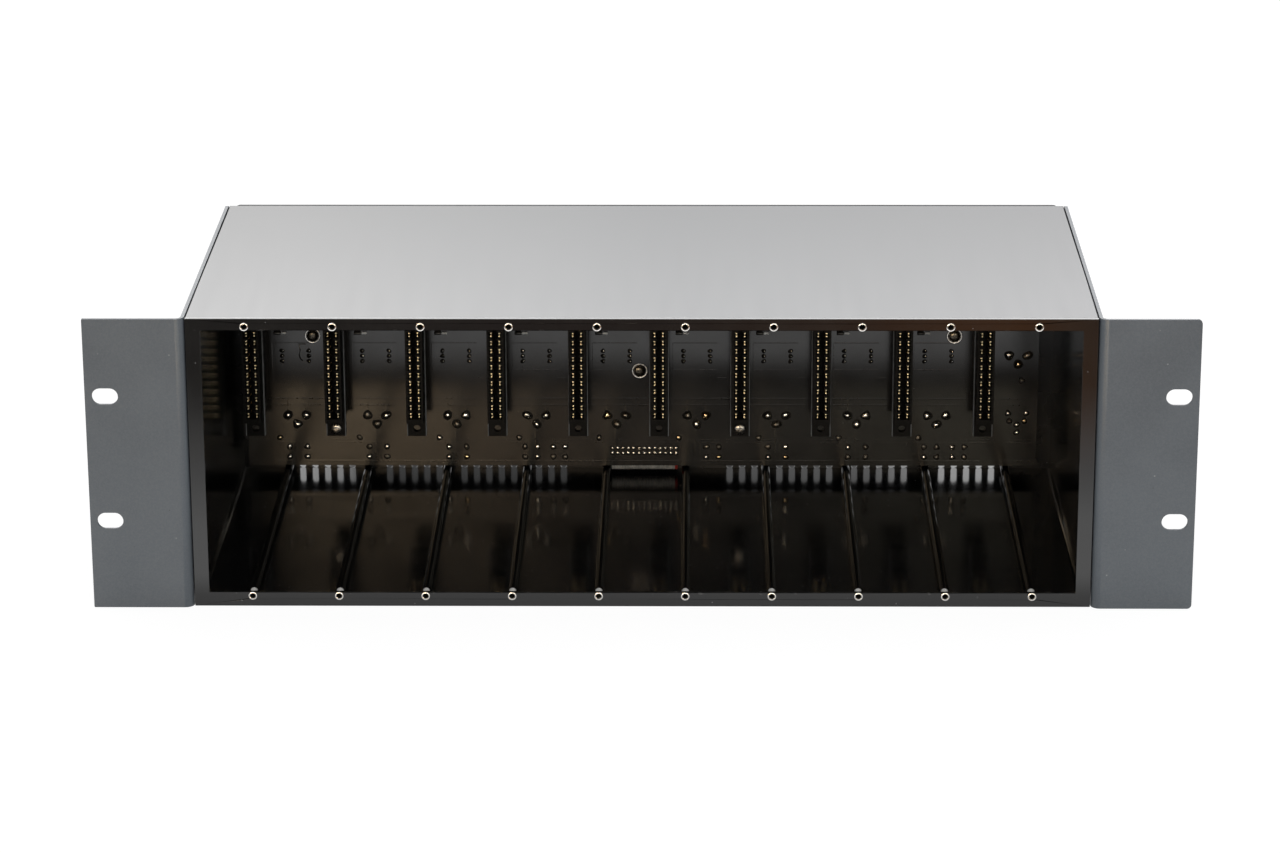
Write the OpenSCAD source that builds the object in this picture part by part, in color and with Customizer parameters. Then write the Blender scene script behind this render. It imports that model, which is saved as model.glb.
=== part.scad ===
// Ten-slot rack for plug-in audio modules, in millimetres.
// The front faces -Y, +X is to the right of the front, +Z is up, and the origin is the middle of the base.

/* [Rack ears] */
// Overall width across the two ears
rack_w = 482.6; // [460:0.1:520]
// Thickness of the ear and side wall sheet
ear_t = 1.5; // [1.3:0.1:3]
// Inside radius of the fold between ear and side wall
fold_r = 2.5; // [0.5:0.1:4]
// Corner radius of the left ear
left_corner_r = 0.5; // [0.3:0.1:4]
// Corner radius of the right ear
right_corner_r = 2; // [0.3:0.1:4]
// Corner radius at the rear end of the side walls
wall_corner_r = 4; // [1:0.5:8]
// Gap between a side wall and the box
side_gap = 0.3; // [0.1:0.1:0.8]
// Distance from the outer edge of an ear to its slot centres
rack_slot_inset = 8.75; // [7.5:0.05:12]
// Height of the lower rack slots
rack_slot_z = 40.4; // [30:0.1:50]
// Vertical distance between the two slots of an ear
rack_slot_step = 57.15; // [40:0.05:65]
// Length of a rack slot
rack_slot_l = 11.4; // [8:0.1:13]
// Width of a rack slot
rack_slot_w = 7.4; // [6:0.1:8]

/* [Box] */
// Depth from the face of the frame to the outside of the rear panel
box_d = 186; // [170:0.5:240]
// How much lower than the ears the box ends
box_drop = 0.3; // [0.1:0.1:1]
// How far the face of the frame lies behind the face of the ears
frame_set = 2; // [1:0.1:4]
// Thickness of the front frame
frame_t = 2; // [1.5:0.1:3]
// Width of the frame beside the opening
lip_side = 6.5; // [5:0.1:9]
// Metal left between the opening and the holes for the inserts
lip_wall = 0.2; // [0.2:0.05:2]
// Thickness of the tray and cover sheet
sheet_t = 1.5; // [1:0.1:2]
// Inside radius of the tray's folds
tray_fold_r = 1.5; // [0.5:0.1:2.5]
// Inside radius of the cover's folds
cover_fold_r = 0.4; // [0.2:0.1:2]
// Outside radius of the cover's folds
cover_edge_r = 0.4; // [0.2:0.1:2]
// Gap between the cover's sides and the tray's sides
sheet_gap = 0.1; // [0.1:0.05:0.3]
// Height of the cover's sides
cover_side_h = 118; // [80:1:120]
// Thickness of the rear panel
rear_t = 2; // [1.5:0.1:3]
// How far the rear panel's edges lie inside the box's sides
rear_inset = 2; // [1:0.1:4]
// Corner radius of the rear panel
rear_corner_r = 3; // [1:0.5:6]
// Length of a vent slot
vent_h = 8.4; // [6:0.1:12]
// Width of a vent slot
vent_w = 3; // [2:0.1:4]
// Distance between vent slots
vent_pitch = 6; // [5.5:0.1:9]
// Height of the metal under the vents
vent_wall = 0.7; // [0.5:0.1:4]
// Distance from the middle to the nearest vent
vent_start = 40; // [32:0.5:60]

/* [Module slots] */
// Width of one module
module_pitch = 38.1; // [36:0.1:39]
// Vertical distance between a module's two inserts
insert_spacing = 123.8; // [118:0.1:130]
// Gap between the lower tie rods and the tray
rod_gap_low = 1.3; // [0.5:0.1:3]
// Gap between the upper tie rods and the cover
rod_gap_high = 0.2; // [0.1:0.1:2]
// Radius of an insert's ring on the face of the frame
insert_ring_r = 1.9; // [1.7:0.05:2.2]
// Thickness of an insert's ring
insert_ring_t = 0.4; // [0.2:0.1:0.8]
// Radius of an insert's neck inside the frame
insert_neck_r = 1.45; // [1.35:0.05:1.5]
// Radius of an insert's barrel behind the frame
insert_barrel_r = 1.6; // [1.5:0.05:1.75]
// Radius of the tapped hole in an insert
insert_hole_r = 1.15; // [0.9:0.05:1.25]
// Length of bare barrel between the frame and the tie rod
insert_reach = 4; // [2:0.5:8]
// Depth of the barrel inside the tie rod
insert_seat = 3; // [2:0.5:6]
// Radius of a tie rod
rod_r = 2; // [1.8:0.05:2.4]
// Depth of the tapped hole in the rear end of a tie rod
rod_tap_l = 8; // [6:0.5:14]

/* [Backplane] */
// Thickness of the board
board_t = 1.6; // [1.2:0.1:2.4]
// Gap between the board and the rear panel
board_gap = 13.9; // [13:0.1:20]
// Gap between the board's edges and the tie rods
board_clear = 1.2; // [0.6:0.1:3]
// Gap between the left edge of the board and the tray
board_left = 3.9; // [2:0.1:8]
// Gap between the right edge of the board and the tray
board_right = 7.9; // [2:0.1:12]
// Distance of the left board screw from the middle
board_screw_left = 158; // [150:0.5:160]
// Distance of the right board screw from the middle
board_screw_right = 146; // [144:0.5:150]
// Height of the outer board screws
board_screw_z = 72.8; // [70:0.1:76]
// Distance of the inner board screw from the middle
board_screw_mid = 3; // [0:0.5:4]
// Height of the inner board screw
board_screw_mid_z = 55.5; // [52:0.1:57]
// Radius of a plated washer under a board screw
washer_r = 3.6; // [3.1:0.1:4]
// Thickness of a washer
washer_t = 0.4; // [0.3:0.1:1]
// Radius of a board standoff
standoff_r = 3; // [2.6:0.1:4]

/* [Edge connectors] */
// Distance of a connector to the left of its module's middle
conn_offset = 12.7; // [12:0.1:13.5]
// Distance from the board to the mating face
conn_stand = 33.5; // [28:0.5:40]
// Distance between contact rows
contact_pitch = 3.96; // [3.8:0.01:4.1]
// Height of the lowest contact row
contact_low = 43.5; // [42:0.1:46]
// Distance of a contact column from the connector's middle
contact_dx = 1.95; // [1.7:0.05:2.2]
// Width of a contact
contact_w = 1; // [0.8:0.05:1.1]
// Height of one of the two prongs of a contact
prong_h = 0.95; // [0.8:0.05:1]
// Gap between the two prongs of a contact
prong_gap = 0.5; // [0.3:0.05:0.7]
// Distance of the contact tips behind the mating face
contact_set = 2; // [1:0.1:5]
// Length of the joined foot of a contact
contact_foot = 2; // [1:0.1:4]
// Thickness of the connector body's walls beside the cells
conn_wall = 1.1; // [0.8:0.05:1.6]
// How far the flange stands out beside the body
conn_flange_out = 0.6; // [0.2:0.1:1.2]
// Thickness of the connector flange
conn_flange_t = 3.5; // [2:0.1:5]
// Width of the connector base that stands on the board
conn_base_w = 6.4; // [5.5:0.1:7.5]
// Depth of the contact cells
cell_d = 12; // [9:0.5:14]
// Room beside a contact in its cell
cell_room_x = 0.45; // [0.2:0.05:0.6]
// Room above and below a contact in its cell
cell_room_z = 0.25; // [0.1:0.05:0.4]
// Width of the slot for the module's card
card_slot_w = 1.8; // [1.7:0.05:2]
// Length of body beyond the outer contact rows
conn_end = 3.6; // [3:0.1:4.5]
// Length of a connector's mounting end
conn_tab = 10; // [9:0.5:12]
// Distance of a mounting hole from the body
conn_hole_out = 6.3; // [5.5:0.1:6.5]
// Room around a shank in a mounting hole
conn_hole_clear = 0.5; // [0.2:0.05:0.8]

/* [Rear sockets] */
// Distance of the sockets to the right of a module's middle
socket_offset = 5; // [4:0.1:5.5]
// Width of a socket flange
socket_w = 26; // [24:0.5:28]
// Height of a socket flange
socket_h = 25; // [24:0.5:26]
// Thickness of a socket flange
socket_t = 2; // [1.5:0.1:3]
// Radius of a socket barrel
socket_r = 10; // [9.5:0.1:10.5]
// Wall around the hollow in an output socket
cavity_wall = 2.2; // [1.5:0.1:2.8]
// Depth of the hollow in a socket
cavity_d = 11; // [8:0.5:12]
// Wall around the ring groove in an input socket
groove_wall = 0.8; // [0.5:0.1:1.2]
// Width of the ring groove in an input socket
groove_w = 1.7; // [1:0.1:2]
// Distance of a pole from the socket's middle
pole_r = 4.4; // [4:0.1:5]
// Radius of an output pin
pin_r = 1.2; // [1:0.05:1.4]
// Corner radius of a socket flange
socket_corner_r = 2; // [0.5:0.1:3]
// Distance of a socket's screws from the flange's edges
socket_screw_in = 3; // [2.6:0.1:4]
// Radius of the pan heads of the socket screws
socket_head_r = 2.3; // [2:0.05:2.5]
// Wall of a contact sleeve in an input socket
sleeve_t = 0.25; // [0.2:0.05:0.4]
// Distance of the pin tips inside the socket's face
pin_set = 2; // [1:0.1:4]
// Gap between the rows of pieces on the rear panel
row_gap = 0.4; // [0.3:0.1:2]
// Gap between the power inlet and the output socket above it
inlet_gap = 6.5; // [2:0.1:8]
// Gap between the highest output socket and the input sockets
input_gap = 8.8; // [4:0.1:12]
// Radius of the power inlet's barrel
inlet_barrel_r = 8.4; // [8:0.1:9]
// How far the power inlet's flange stands out around the barrel
inlet_rim = 2.6; // [1.5:0.1:3.5]
// Distance of a power contact from the inlet's middle
inlet_pole_r = 3.75; // [3.4:0.05:4]
// Radius of a power contact's hole
inlet_hole_r = 0.8; // [0.6:0.05:1]
// Wall around the power inlet's ring groove
inlet_groove_wall = 1.4; // [0.8:0.1:1.8]
// Width of the power inlet's ring groove
inlet_groove_w = 1.2; // [0.8:0.1:1.4]
// Depth of the power inlet's ring groove
inlet_groove_d = 7; // [4:0.5:10]

/* [Multi-way socket and ribbon] */
// Distance of the ribbon to the left of the middle
ribbon_left = 0.9; // [0.8:0.05:0.95]
// Distance between the ribbon's wires
ribbon_pitch = 1.27; // [1.25:0.005:1.275]
// Thickness of the ribbon
ribbon_t = 0.9; // [0.7:0.05:1]
// Length of straight ribbon under the multi-way socket's body
ribbon_leg = 2.3; // [0.2:0.1:3]
// Height of the ribbon connector's middle above the board's lower edge
header_rise = 7.6; // [7:0.1:9]
// Height of the ribbon connector
header_h = 6.5; // [6:0.1:7.5]
// Thickness of the ribbon connector
header_t = 5; // [4.5:0.1:5.5]
// Length of the ribbon connector
header_l = 39; // [36:0.5:42]
// Width of the multi-way socket's flange
multi_w = 53; // [51:0.5:55]
// Height of the multi-way socket's flange
multi_h = 12.4; // [11.5:0.1:13]
// Thickness of the multi-way socket's flange
multi_t = 1.2; // [0.8:0.1:2]
// Distance of the multi-way socket's shell from the ends of its flange
shell_edge = 7; // [6.5:0.1:8.5]
// Height of the multi-way socket's shell
shell_h = 8.2; // [7.8:0.1:8.6]
// How much narrower the shell is at its lower edge, on each side
shell_taper = 1.4; // [0.8:0.1:2]
// How far the shell reaches behind the rear panel
shell_reach = 6; // [5:0.1:8]
// Thickness of the multi-way socket's body inside the rear panel
multi_body_t = 5.5; // [4.5:0.1:6]
// How far the body's edges lie inside the shell's outline
multi_body_in = 0.4; // [0.1:0.1:1.5]
// Distance of the jack posts from the ends of the flange
jack_in = 3; // [2.9:0.1:4]
// Radius over the corners of a jack post
jack_r = 2.6; // [2.2:0.1:2.8]
// Length of a jack post
jack_l = 4.4; // [3:0.1:4.8]

/* [Solder joints and small parts] */
// Radius of the solder joints of the sockets
solder_big_r = 1.6; // [1.2:0.1:2]
// Radius of the other single solder joints
solder_mid_r = 1; // [0.7:0.1:1.2]
// Radius of the solder joints in rows
solder_small_r = 0.75; // [0.5:0.05:0.9]
// Height of the low pads above the board's lower edge
pad_rise = 4.4; // [3:0.1:6]
// Distance between the two rows of low pads
pad_step = 5; // [4:0.1:5.5]
// Height of the single pads above the board's lower edge
single_rise = 14; // [12:0.5:16]
// Distance of the single pads to the left of a module's middle
single_left = 3.5; // [2:0.1:5]
// Distance of the link pads from the sockets' middle
link_dx = 6.35; // [5.5:0.05:7]
// Height of the middle link pads
link_z = 62.8; // [60:0.1:66]
// Length of a small part
part_l = 6; // [4:0.1:7]
// Height of a small part
part_h = 2.6; // [1.6:0.1:3]
// Thickness of a small part
part_t = 1.8; // [1:0.1:2.5]
// Distance of a small part to the left of a module's middle
part_left = 5; // [4:0.1:6]
// Height of the small parts
part_z = 73; // [72:0.5:82]

/* [Screws] */
// Radius of the screws' shanks
shank_r = 1.2; // [1:0.05:1.4]
// Room around a shank in a clearance hole
screw_clear = 0.4; // [0.2:0.05:0.6]
// Radius of the screws' pan heads
head_r = 2.75; // [2.5:0.05:2.8]
// Height of the screws' pan heads
head_h = 1.8; // [1.4:0.1:2.4]
// Width of the arms of the cross recess
cross_w = 0.7; // [0.5:0.05:1]
// Span of the cross recess
cross_l = 2.8; // [2:0.1:3.4]
// Depth of the cross recess
cross_d = 1; // [0.6:0.1:1.3]
// Radius of the side screws' countersunk heads
flush_r = 2.8; // [2.4:0.1:3.4]
// Depth of the side screws' countersunk heads
flush_d = 1.1; // [0.8:0.1:1.2]
// Depth of a tapped hole that is left free under its screw
tap_spare = 2; // [0.5:0.5:4]
// Distance of the side screws from the ends of the side walls
side_screw_in = 30; // [20:1:50]
// Height of the lower side screws above the cover's lower edge
side_screw_low = 7.7; // [5:0.1:20]
// Distance of the upper side screws below the top of the box
side_screw_high = 15; // [10:0.5:30]

/* [Hidden] */
slots = 10;
contact_rows = 15;
ribbon_wires = 25;
header_pins = 13;
header_pitch = 2.54;
fit = 0.05;
eps = 0.01;
far = 1000;
$fn = 48;

black_sheet = "#161616";
black_plastic = "#1b1b1c";
slate = "#5c6166";
board_brown = "#39342e";
gold = "#c9a24a";
nickel = "#c9c9c6";
tin = "#b9b9b4";
grey_cable = "#b8b2a6";
dark_steel = "#3a3835";

tap_r = shank_r + fit;
screw_hole_r = shank_r + screw_clear;
conn_hole_r = shank_r + conn_hole_clear;

opening_w = slots * module_pitch;
box_w = opening_w + 2 * lip_side;
low_z = sheet_t + rod_gap_low + rod_r;
high_z = low_z + insert_spacing;
box_h = high_z + rod_r + rod_gap_high + sheet_t;
rack_h = box_h + box_drop;
lip_low = low_z + insert_neck_r + fit + lip_wall;
lip_high = box_h - high_z + insert_neck_r + fit + lip_wall;
frame_back = frame_set + frame_t;
rear_out = frame_set + box_d;
rear_in = rear_out - rear_t;
overall_d = rear_out + shell_reach;
fold_outer = fold_r + ear_t;
wall_x = box_w / 2 + side_gap;
tray_x = box_w / 2 - sheet_t - sheet_gap;
tray_in = tray_x - sheet_t;
tray_top = box_h - sheet_t - cover_fold_r - sheet_gap;
rod_front = frame_back + insert_reach;

board_back = rear_in - board_gap;
board_front = board_back - board_t;
board_x0 = board_left - tray_in;
board_x1 = tray_in - board_right;
board_z0 = low_z + rod_r + board_clear;
board_z1 = high_z - rod_r - board_clear;
board_screws = [
    [-board_screw_left, board_screw_z],
    [-board_screw_mid, board_screw_mid_z],
    [board_screw_right, board_screw_z]
];

cell_w = 2 * (contact_dx + contact_w / 2 + cell_room_x);
cell_h = 2 * (prong_h + cell_room_z) + prong_gap;
conn_w = cell_w + 2 * conn_wall;
conn_flange_w = conn_w + 2 * conn_flange_out;
conn_face = board_front - conn_stand;
conn_flange_y = conn_face + cell_d;
conn_base_y = conn_flange_y + conn_flange_t;
contact_high = contact_low + (contact_rows - 1) * contact_pitch;
conn_z0 = contact_low - conn_end;
conn_z1 = contact_high + conn_end;

socket_back = rear_out + socket_t;
cavity_r = socket_r - cavity_wall;
groove_r = socket_r - groove_wall;
core_r = groove_r - groove_w;
inlet_r = inlet_barrel_r + inlet_rim;
inlet_groove_out = inlet_barrel_r - inlet_groove_wall;
inlet_groove_in = inlet_groove_out - inlet_groove_w;
multi_z = low_z + head_r + row_gap + multi_h / 2;
output_z = multi_z + multi_h / 2 + row_gap + socket_h / 2;
last_output_z = output_z + inlet_r + inlet_gap + socket_h / 2;
input_z = last_output_z + input_gap + socket_h;
socket_screw_dx = socket_w / 2 - socket_screw_in;
socket_screw_dz = socket_h / 2 - socket_screw_in;
poles = [[-pole_r, 0], [pole_r, 0], [0, -pole_r]];
inlet_z = output_z;
inlet_step = 53;
inlet_angles = [for (k = [-2:2]) 270 + k * inlet_step];
inlet_pad_r = 4.5;
jack_x = multi_w / 2 - jack_in;
shell_w = multi_w - 2 * shell_edge;
multi_columns = 13;
multi_hole_in = 1.54;
multi_pitch = (shell_w - 2 * shell_taper - 2 * multi_hole_in) / (multi_columns - 1);
multi_row = 1.42;
multi_hole_r = 0.5;
multi_hole_d = 5;
vent_low = box_drop + vent_wall;

ribbon_w = ribbon_wires * ribbon_pitch;
header_z = board_z0 + header_rise;
header_y = board_back + header_t / 2;
multi_body_y = rear_in - multi_body_t / 2;
multi_body_h = shell_h - 2 * multi_body_in;
loop_r = (multi_body_y - header_y) / 2;
header_bottom = header_z - header_h / 2;
multi_bottom = multi_z - multi_body_h / 2;
loop_z = min(header_bottom, multi_bottom) - ribbon_leg;
pads_plain = [1, 9.4];
pads_double = [-0.8, 5.2, 12.7, 18.4];
pads_right = [9.6, 15.6];
ground_pad = [1.8, -12.5];

// Places of one module's middle, its connector and its sockets
function slot_x(i) = (i - (slots + 1) / 2) * module_pitch;
function conn_x(i) = slot_x(i) - conn_offset;
function socket_x(i) = slot_x(i) + socket_offset;
function out_z(i) = i == slots ? last_output_z : output_z;

// Whether a connector's lower end has its screw
function has_screw(i) = i == 2 || i == 7;

// Pads in the bottom rows of the board, from a module's middle
function low_pads(i) =
    i == 5 || i == slots ? [] :
    i == 6 ? pads_right :
    i == 4 || i == 9 ? pads_double :
    pads_plain;

// Moves pieces drawn from the face of the ears into the part's frame
module in_frame() {
    translate([0, -overall_d / 2, 0]) children();
}

// A cylinder along the depth, from y0 to y1
module rod_y(x, z, r, y0, y1) {
    translate([x, y0, z]) rotate([-90, 0, 0]) cylinder(h = y1 - y0, r = r);
}

// A box given by its two corners
module block(a, b) {
    translate(a) cube(b - a);
}

// A flat outline seen from the front, from y0 to y1
module plate_y(y0, y1) {
    translate([0, y1, 0]) rotate([90, 0, 0]) linear_extrude(y1 - y0) children();
}

// A rectangle with round corners, from corner a to corner b
module round_rect(a, b, r) {
    translate(a + [r, 0]) square([b[0] - a[0] - 2 * r, b[1] - a[1]]);
    translate(a + [0, r]) square([b[0] - a[0], b[1] - a[1] - 2 * r]);
    for (x = [a[0] + r, b[0] - r], z = [a[1] + r, b[1] - r]) translate([x, z]) circle(r);
}

// A slot with round ends along X
module obround(l, w) {
    square([l - w, w], center = true);
    for (s = [-1, 1]) translate([s * (l - w) / 2, 0]) circle(d = w);
}

// A cross recess that is cut into a head whose face is at y, opening towards the side dir
module cross_cut(x, y, z, dir) {
    for (s = [[cross_l, cross_w], [cross_w, cross_l]]) {
        y0 = min(y - dir * cross_d, y + dir * eps);
        y1 = max(y - dir * cross_d, y + dir * eps);
        block([x - s[0] / 2, y0, z - s[1] / 2], [x + s[0] / 2, y1, z + s[1] / 2]);
    }
}

// A pan-head screw whose head rests at y; dir is the side the head is on, l the length of its shank
module pan_screw(x, y, z, dir, r, l) {
    difference() {
        union() {
            rod_y(x, z, r, min(y, y + dir * head_h), max(y, y + dir * head_h));
            rod_y(x, z, shank_r, min(y, y - dir * l), max(y, y - dir * l));
        }
        cross_cut(x, y + dir * head_h, z, dir);
    }
}

// Places of the side screws along a side wall, as depth and height
function side_screw_places() = [
    for (
        y = [side_screw_in, rear_out - side_screw_in],
        z = [box_h - cover_side_h + side_screw_low, box_h - side_screw_high]
    ) [y, z]
];

// A hole or shank across the width, from x0 to x1
module rod_x(y, z, r, x0, x1) {
    translate([x0, y, z]) rotate([0, 90, 0]) cylinder(h = x1 - x0, r = r);
}

// Flat ring around the module opening
module front_frame() {
    color(black_sheet) in_frame() difference() {
        block([-box_w / 2, frame_set, 0], [box_w / 2, frame_back, box_h]);
        block(
            [-opening_w / 2, frame_set - eps, lip_low],
            [opening_w / 2, frame_back + eps, box_h - lip_high]
        );
        for (i = [1:slots], z = [low_z, high_z])
            rod_y(slot_x(i), z, insert_neck_r + fit, frame_set - eps, frame_back + eps);
    }
}

// Outline of a folded sheet: two sides of height h on a base of half width x
module channel(x, h, inside_r, outside_r) {
    difference() {
        trough(x, h, outside_r);
        translate([0, sheet_t]) trough(x - sheet_t, h, inside_r);
    }
}

// Outline of half width x and height h with two round lower corners
module trough(x, h, r) {
    translate([r - x, 0]) square([2 * (x - r), h]);
    translate([-x, r]) square([2 * x, h - r]);
    for (s = [-1, 1]) translate([s * (x - r), r]) circle(r);
}

// Top sheet with both sides folded down over the tray
module top_cover() {
    color(black_sheet) in_frame() difference() {
        plate_y(frame_back, rear_in) translate([0, box_h]) mirror([0, 1])
            channel(box_w / 2, cover_side_h, cover_fold_r, cover_edge_r);
        for (p = side_screw_places()) rod_x(p[0], p[1], screw_hole_r, -far, far);
    }
}

// Floor sheet with both sides folded up
module bottom_tray() {
    color(black_sheet) in_frame() difference() {
        plate_y(frame_back, rear_in) channel(tray_x, tray_top, tray_fold_r, tray_fold_r + sheet_t);
        for (p = side_screw_places()) rod_x(p[0], p[1], tap_r, -far, far);
    }
}

// Sheet folded into a rack ear and a side wall, on the side s
module side_panel(s) {
    color(slate) in_frame() on_side(s) difference() {
        intersection() {
            linear_extrude(rack_h) side_outline();
            plate_y(-eps, rear_out + eps)
                round_rect([0, 0], [rack_w / 2, rack_h], s > 0 ? right_corner_r : left_corner_r);
            rotate([90, 0, 90]) linear_extrude(rack_w)
                round_rect([-far, 0], [rear_out, rack_h], wall_corner_r);
        }
        for (z = [rack_slot_z, rack_slot_z + rack_slot_step])
            plate_y(-eps, ear_t + eps)
                translate([rack_w / 2 - rack_slot_inset, z]) obround(rack_slot_l, rack_slot_w);
        for (p = side_screw_places()) {
            rod_x(p[0], p[1], screw_hole_r, wall_x - eps, wall_x + ear_t + eps);
            translate([wall_x + ear_t - flush_d, p[0], p[1]]) rotate([0, 90, 0])
                cylinder(h = flush_d + eps, r1 = screw_hole_r, r2 = flush_r + fit);
        }
    }
}

// Turns the right-hand side panel into the left-hand one
module on_side(s) {
    if (s > 0) children();
    else mirror([1, 0, 0]) children();
}

// Section of the right-hand side panel, seen from above
module side_outline() {
    translate([wall_x, fold_outer]) square([ear_t, rear_out - fold_outer]);
    translate([wall_x + fold_outer, 0]) square([rack_w / 2 - wall_x - fold_outer, ear_t]);
    translate([wall_x + fold_outer, fold_outer]) intersection() {
        difference() {
            circle(fold_outer);
            circle(fold_r);
        }
        translate([-fold_outer, -fold_outer]) square(fold_outer);
    }
}

// Flat plate at the back with holes for the sockets, vents and screws
module rear_panel() {
    color(black_sheet) in_frame() difference() {
        plate_y(rear_in, rear_out)
            round_rect([rear_inset - box_w / 2, box_drop], [box_w / 2 - rear_inset, box_h], rear_corner_r);
        for (i = [1:slots]) {
            for (z = [low_z, high_z]) rod_y(slot_x(i), z, screw_hole_r, rear_in - eps, rear_out + eps);
            for (z = [out_z(i), input_z]) {
                rod_y(socket_x(i), z, socket_r + fit, rear_in - eps, rear_out + eps);
                for (s = [-1, 1])
                    rod_y(
                        socket_x(i) + s * socket_screw_dx, z + s * socket_screw_dz,
                        tap_r, rear_in - eps, rear_out + eps
                    );
            }
        }
        rod_y(socket_x(slots), inlet_z, inlet_barrel_r + fit, rear_in - eps, rear_out + eps);
        block(
            [-ribbon_left - shell_w / 2 - fit, rear_in - eps, multi_z - shell_h / 2 - fit],
            [-ribbon_left + shell_w / 2 + fit, rear_out + eps, multi_z + shell_h / 2 + fit]
        );
        plate_y(rear_in - eps, rear_out + eps) vents();
    }
}

// Vent slots on both sides, left out where a rod screw holds the panel
module vents() {
    last = slot_x(slots) - head_r;
    for (s = [-1, 1], x = [vent_start:vent_pitch:last])
        if (min([for (i = [1:slots]) abs(s * x - slot_x(i))]) > head_r + vent_w / 2)
            translate([s * x, vent_low + vent_h / 2]) rotate(90) obround(vent_h, vent_w);
}

// Circuit board across the width of the box
module backplane_board() {
    color(board_brown) in_frame() difference() {
        block([board_x0, board_front, board_z0], [board_x1, board_back, board_z1]);
        for (p = board_screws) rod_y(p[0], p[1], screw_hole_r, board_front - eps, board_back + eps);
    }
}

// Card-edge connector of module i, with a cell for each contact
module edge_connector(i) {
    z0 = conn_z0 - conn_tab;
    z1 = conn_z1 + conn_tab;
    color(black_plastic) in_frame() translate([conn_x(i), 0, 0]) difference() {
        union() {
            plate_y(conn_face, conn_flange_y) difference() {
                translate([-conn_w / 2, conn_z0]) square([conn_w, conn_z1 - conn_z0]);
                connector_cells();
            }
            block([-conn_flange_w / 2, conn_flange_y, z0], [conn_flange_w / 2, conn_base_y, z1]);
            block([-conn_base_w / 2, conn_base_y, conn_z0], [conn_base_w / 2, board_front, conn_z1]);
        }
        for (z = [conn_z0 - conn_hole_out, conn_z1 + conn_hole_out])
            rod_y(0, z, conn_hole_r, conn_flange_y - eps, conn_base_y + eps);
    }
}

// Outline of the card slot and the contact cells of one connector
module connector_cells() {
    translate([-card_slot_w / 2, contact_low - cell_h / 2])
        square([card_slot_w, contact_high - contact_low + cell_h]);
    for (k = [0:contact_rows - 1])
        translate([0, contact_low + k * contact_pitch]) square([cell_w, cell_h], center = true);
}

// Two-pronged contacts of all the connectors
module edge_contacts() {
    color(gold) in_frame() for (i = [1:slots], s = [-1, 1], k = [0:contact_rows - 1])
        translate([conn_x(i) + s * contact_dx, 0, contact_low + k * contact_pitch]) edge_contact();
}

// One contact, standing on the floor of its cell
module edge_contact() {
    half = prong_gap / 2 + prong_h;
    foot = conn_flange_y - contact_foot;
    difference() {
        block([-contact_w / 2, conn_face + contact_set, -half], [contact_w / 2, conn_flange_y, half]);
        block([-far, 0, -prong_gap / 2], [far, foot, prong_gap / 2]);
    }
}

// Tie rods of one row, from the inserts to the rear panel
module tie_rods(z) {
    color(black_sheet) in_frame() for (i = [1:slots]) difference() {
        rod_y(slot_x(i), z, rod_r, rod_front, rear_in);
        rod_y(slot_x(i), z, insert_barrel_r + fit, rod_front - eps, rod_front + insert_seat);
        rod_y(slot_x(i), z, tap_r, rear_in - rod_tap_l, rear_in + eps);
    }
}

// Threaded inserts of one row, riveted into the frame and seated in the rods
module inserts(z) {
    barrel_end = rod_front + insert_seat;
    color(nickel) in_frame() for (i = [1:slots]) difference() {
        union() {
            rod_y(slot_x(i), z, insert_ring_r, frame_set - insert_ring_t, frame_set);
            rod_y(slot_x(i), z, insert_neck_r, frame_set, frame_back);
            rod_y(slot_x(i), z, insert_barrel_r, frame_back, barrel_end);
        }
        rod_y(slot_x(i), z, insert_hole_r, frame_set - insert_ring_t - eps, barrel_end + eps);
    }
}

// Screws that hold the rear panel to the tie rods
module rod_screws() {
    color(nickel) in_frame() for (i = [1:slots], z = [low_z, high_z])
        pan_screw(slot_x(i), rear_out, z, 1, head_r, rear_t + rod_tap_l - tap_spare);
}

// Countersunk screws through the side panels, the cover and the tray
module side_screws() {
    tip = tray_in;
    head = wall_x + ear_t;
    color(black_sheet) in_frame() for (s = [-1, 1], p = side_screw_places()) on_side(s) {
        rod_x(p[0], p[1], shank_r, tip, head - flush_d);
        translate([head - flush_d, p[0], p[1]]) rotate([0, 90, 0])
            cylinder(h = flush_d, r1 = shank_r, r2 = flush_r);
    }
}

// Screws that hold the board to its standoffs
module board_screws() {
    color(dark_steel) in_frame() for (p = board_screws)
        pan_screw(p[0], board_front - washer_t, p[1], -1, head_r, washer_t + board_t + rod_tap_l - tap_spare);
}

// Plated washers on the face of the board
module board_washers() {
    color(nickel) in_frame() for (p = board_screws) difference() {
        rod_y(p[0], p[1], washer_r, board_front - washer_t, board_front);
        rod_y(p[0], p[1], screw_hole_r, board_front - washer_t - eps, board_front + eps);
    }
}

// Posts between the board and the rear panel
module board_standoffs() {
    color(nickel) in_frame() for (p = board_screws) difference() {
        rod_y(p[0], p[1], standoff_r, board_back, rear_in);
        rod_y(p[0], p[1], tap_r, board_back - eps, board_back + rod_tap_l);
    }
}

// Screws in the lower ends of the fastened connectors
module connector_screws() {
    color(nickel) in_frame() for (i = [1:slots]) if (has_screw(i))
        pan_screw(
            conn_x(i), conn_flange_y, conn_z0 - conn_hole_out,
            -1, head_r, conn_flange_t + rod_tap_l - tap_spare
        );
}

// Spacers between the fastened connectors and the board
module connector_spacers() {
    color(black_plastic) in_frame() for (i = [1:slots]) if (has_screw(i)) difference() {
        rod_y(conn_x(i), conn_z0 - conn_hole_out, standoff_r, conn_base_y, board_front);
        rod_y(conn_x(i), conn_z0 - conn_hole_out, tap_r, conn_base_y - eps, conn_base_y + rod_tap_l);
    }
}

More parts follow.
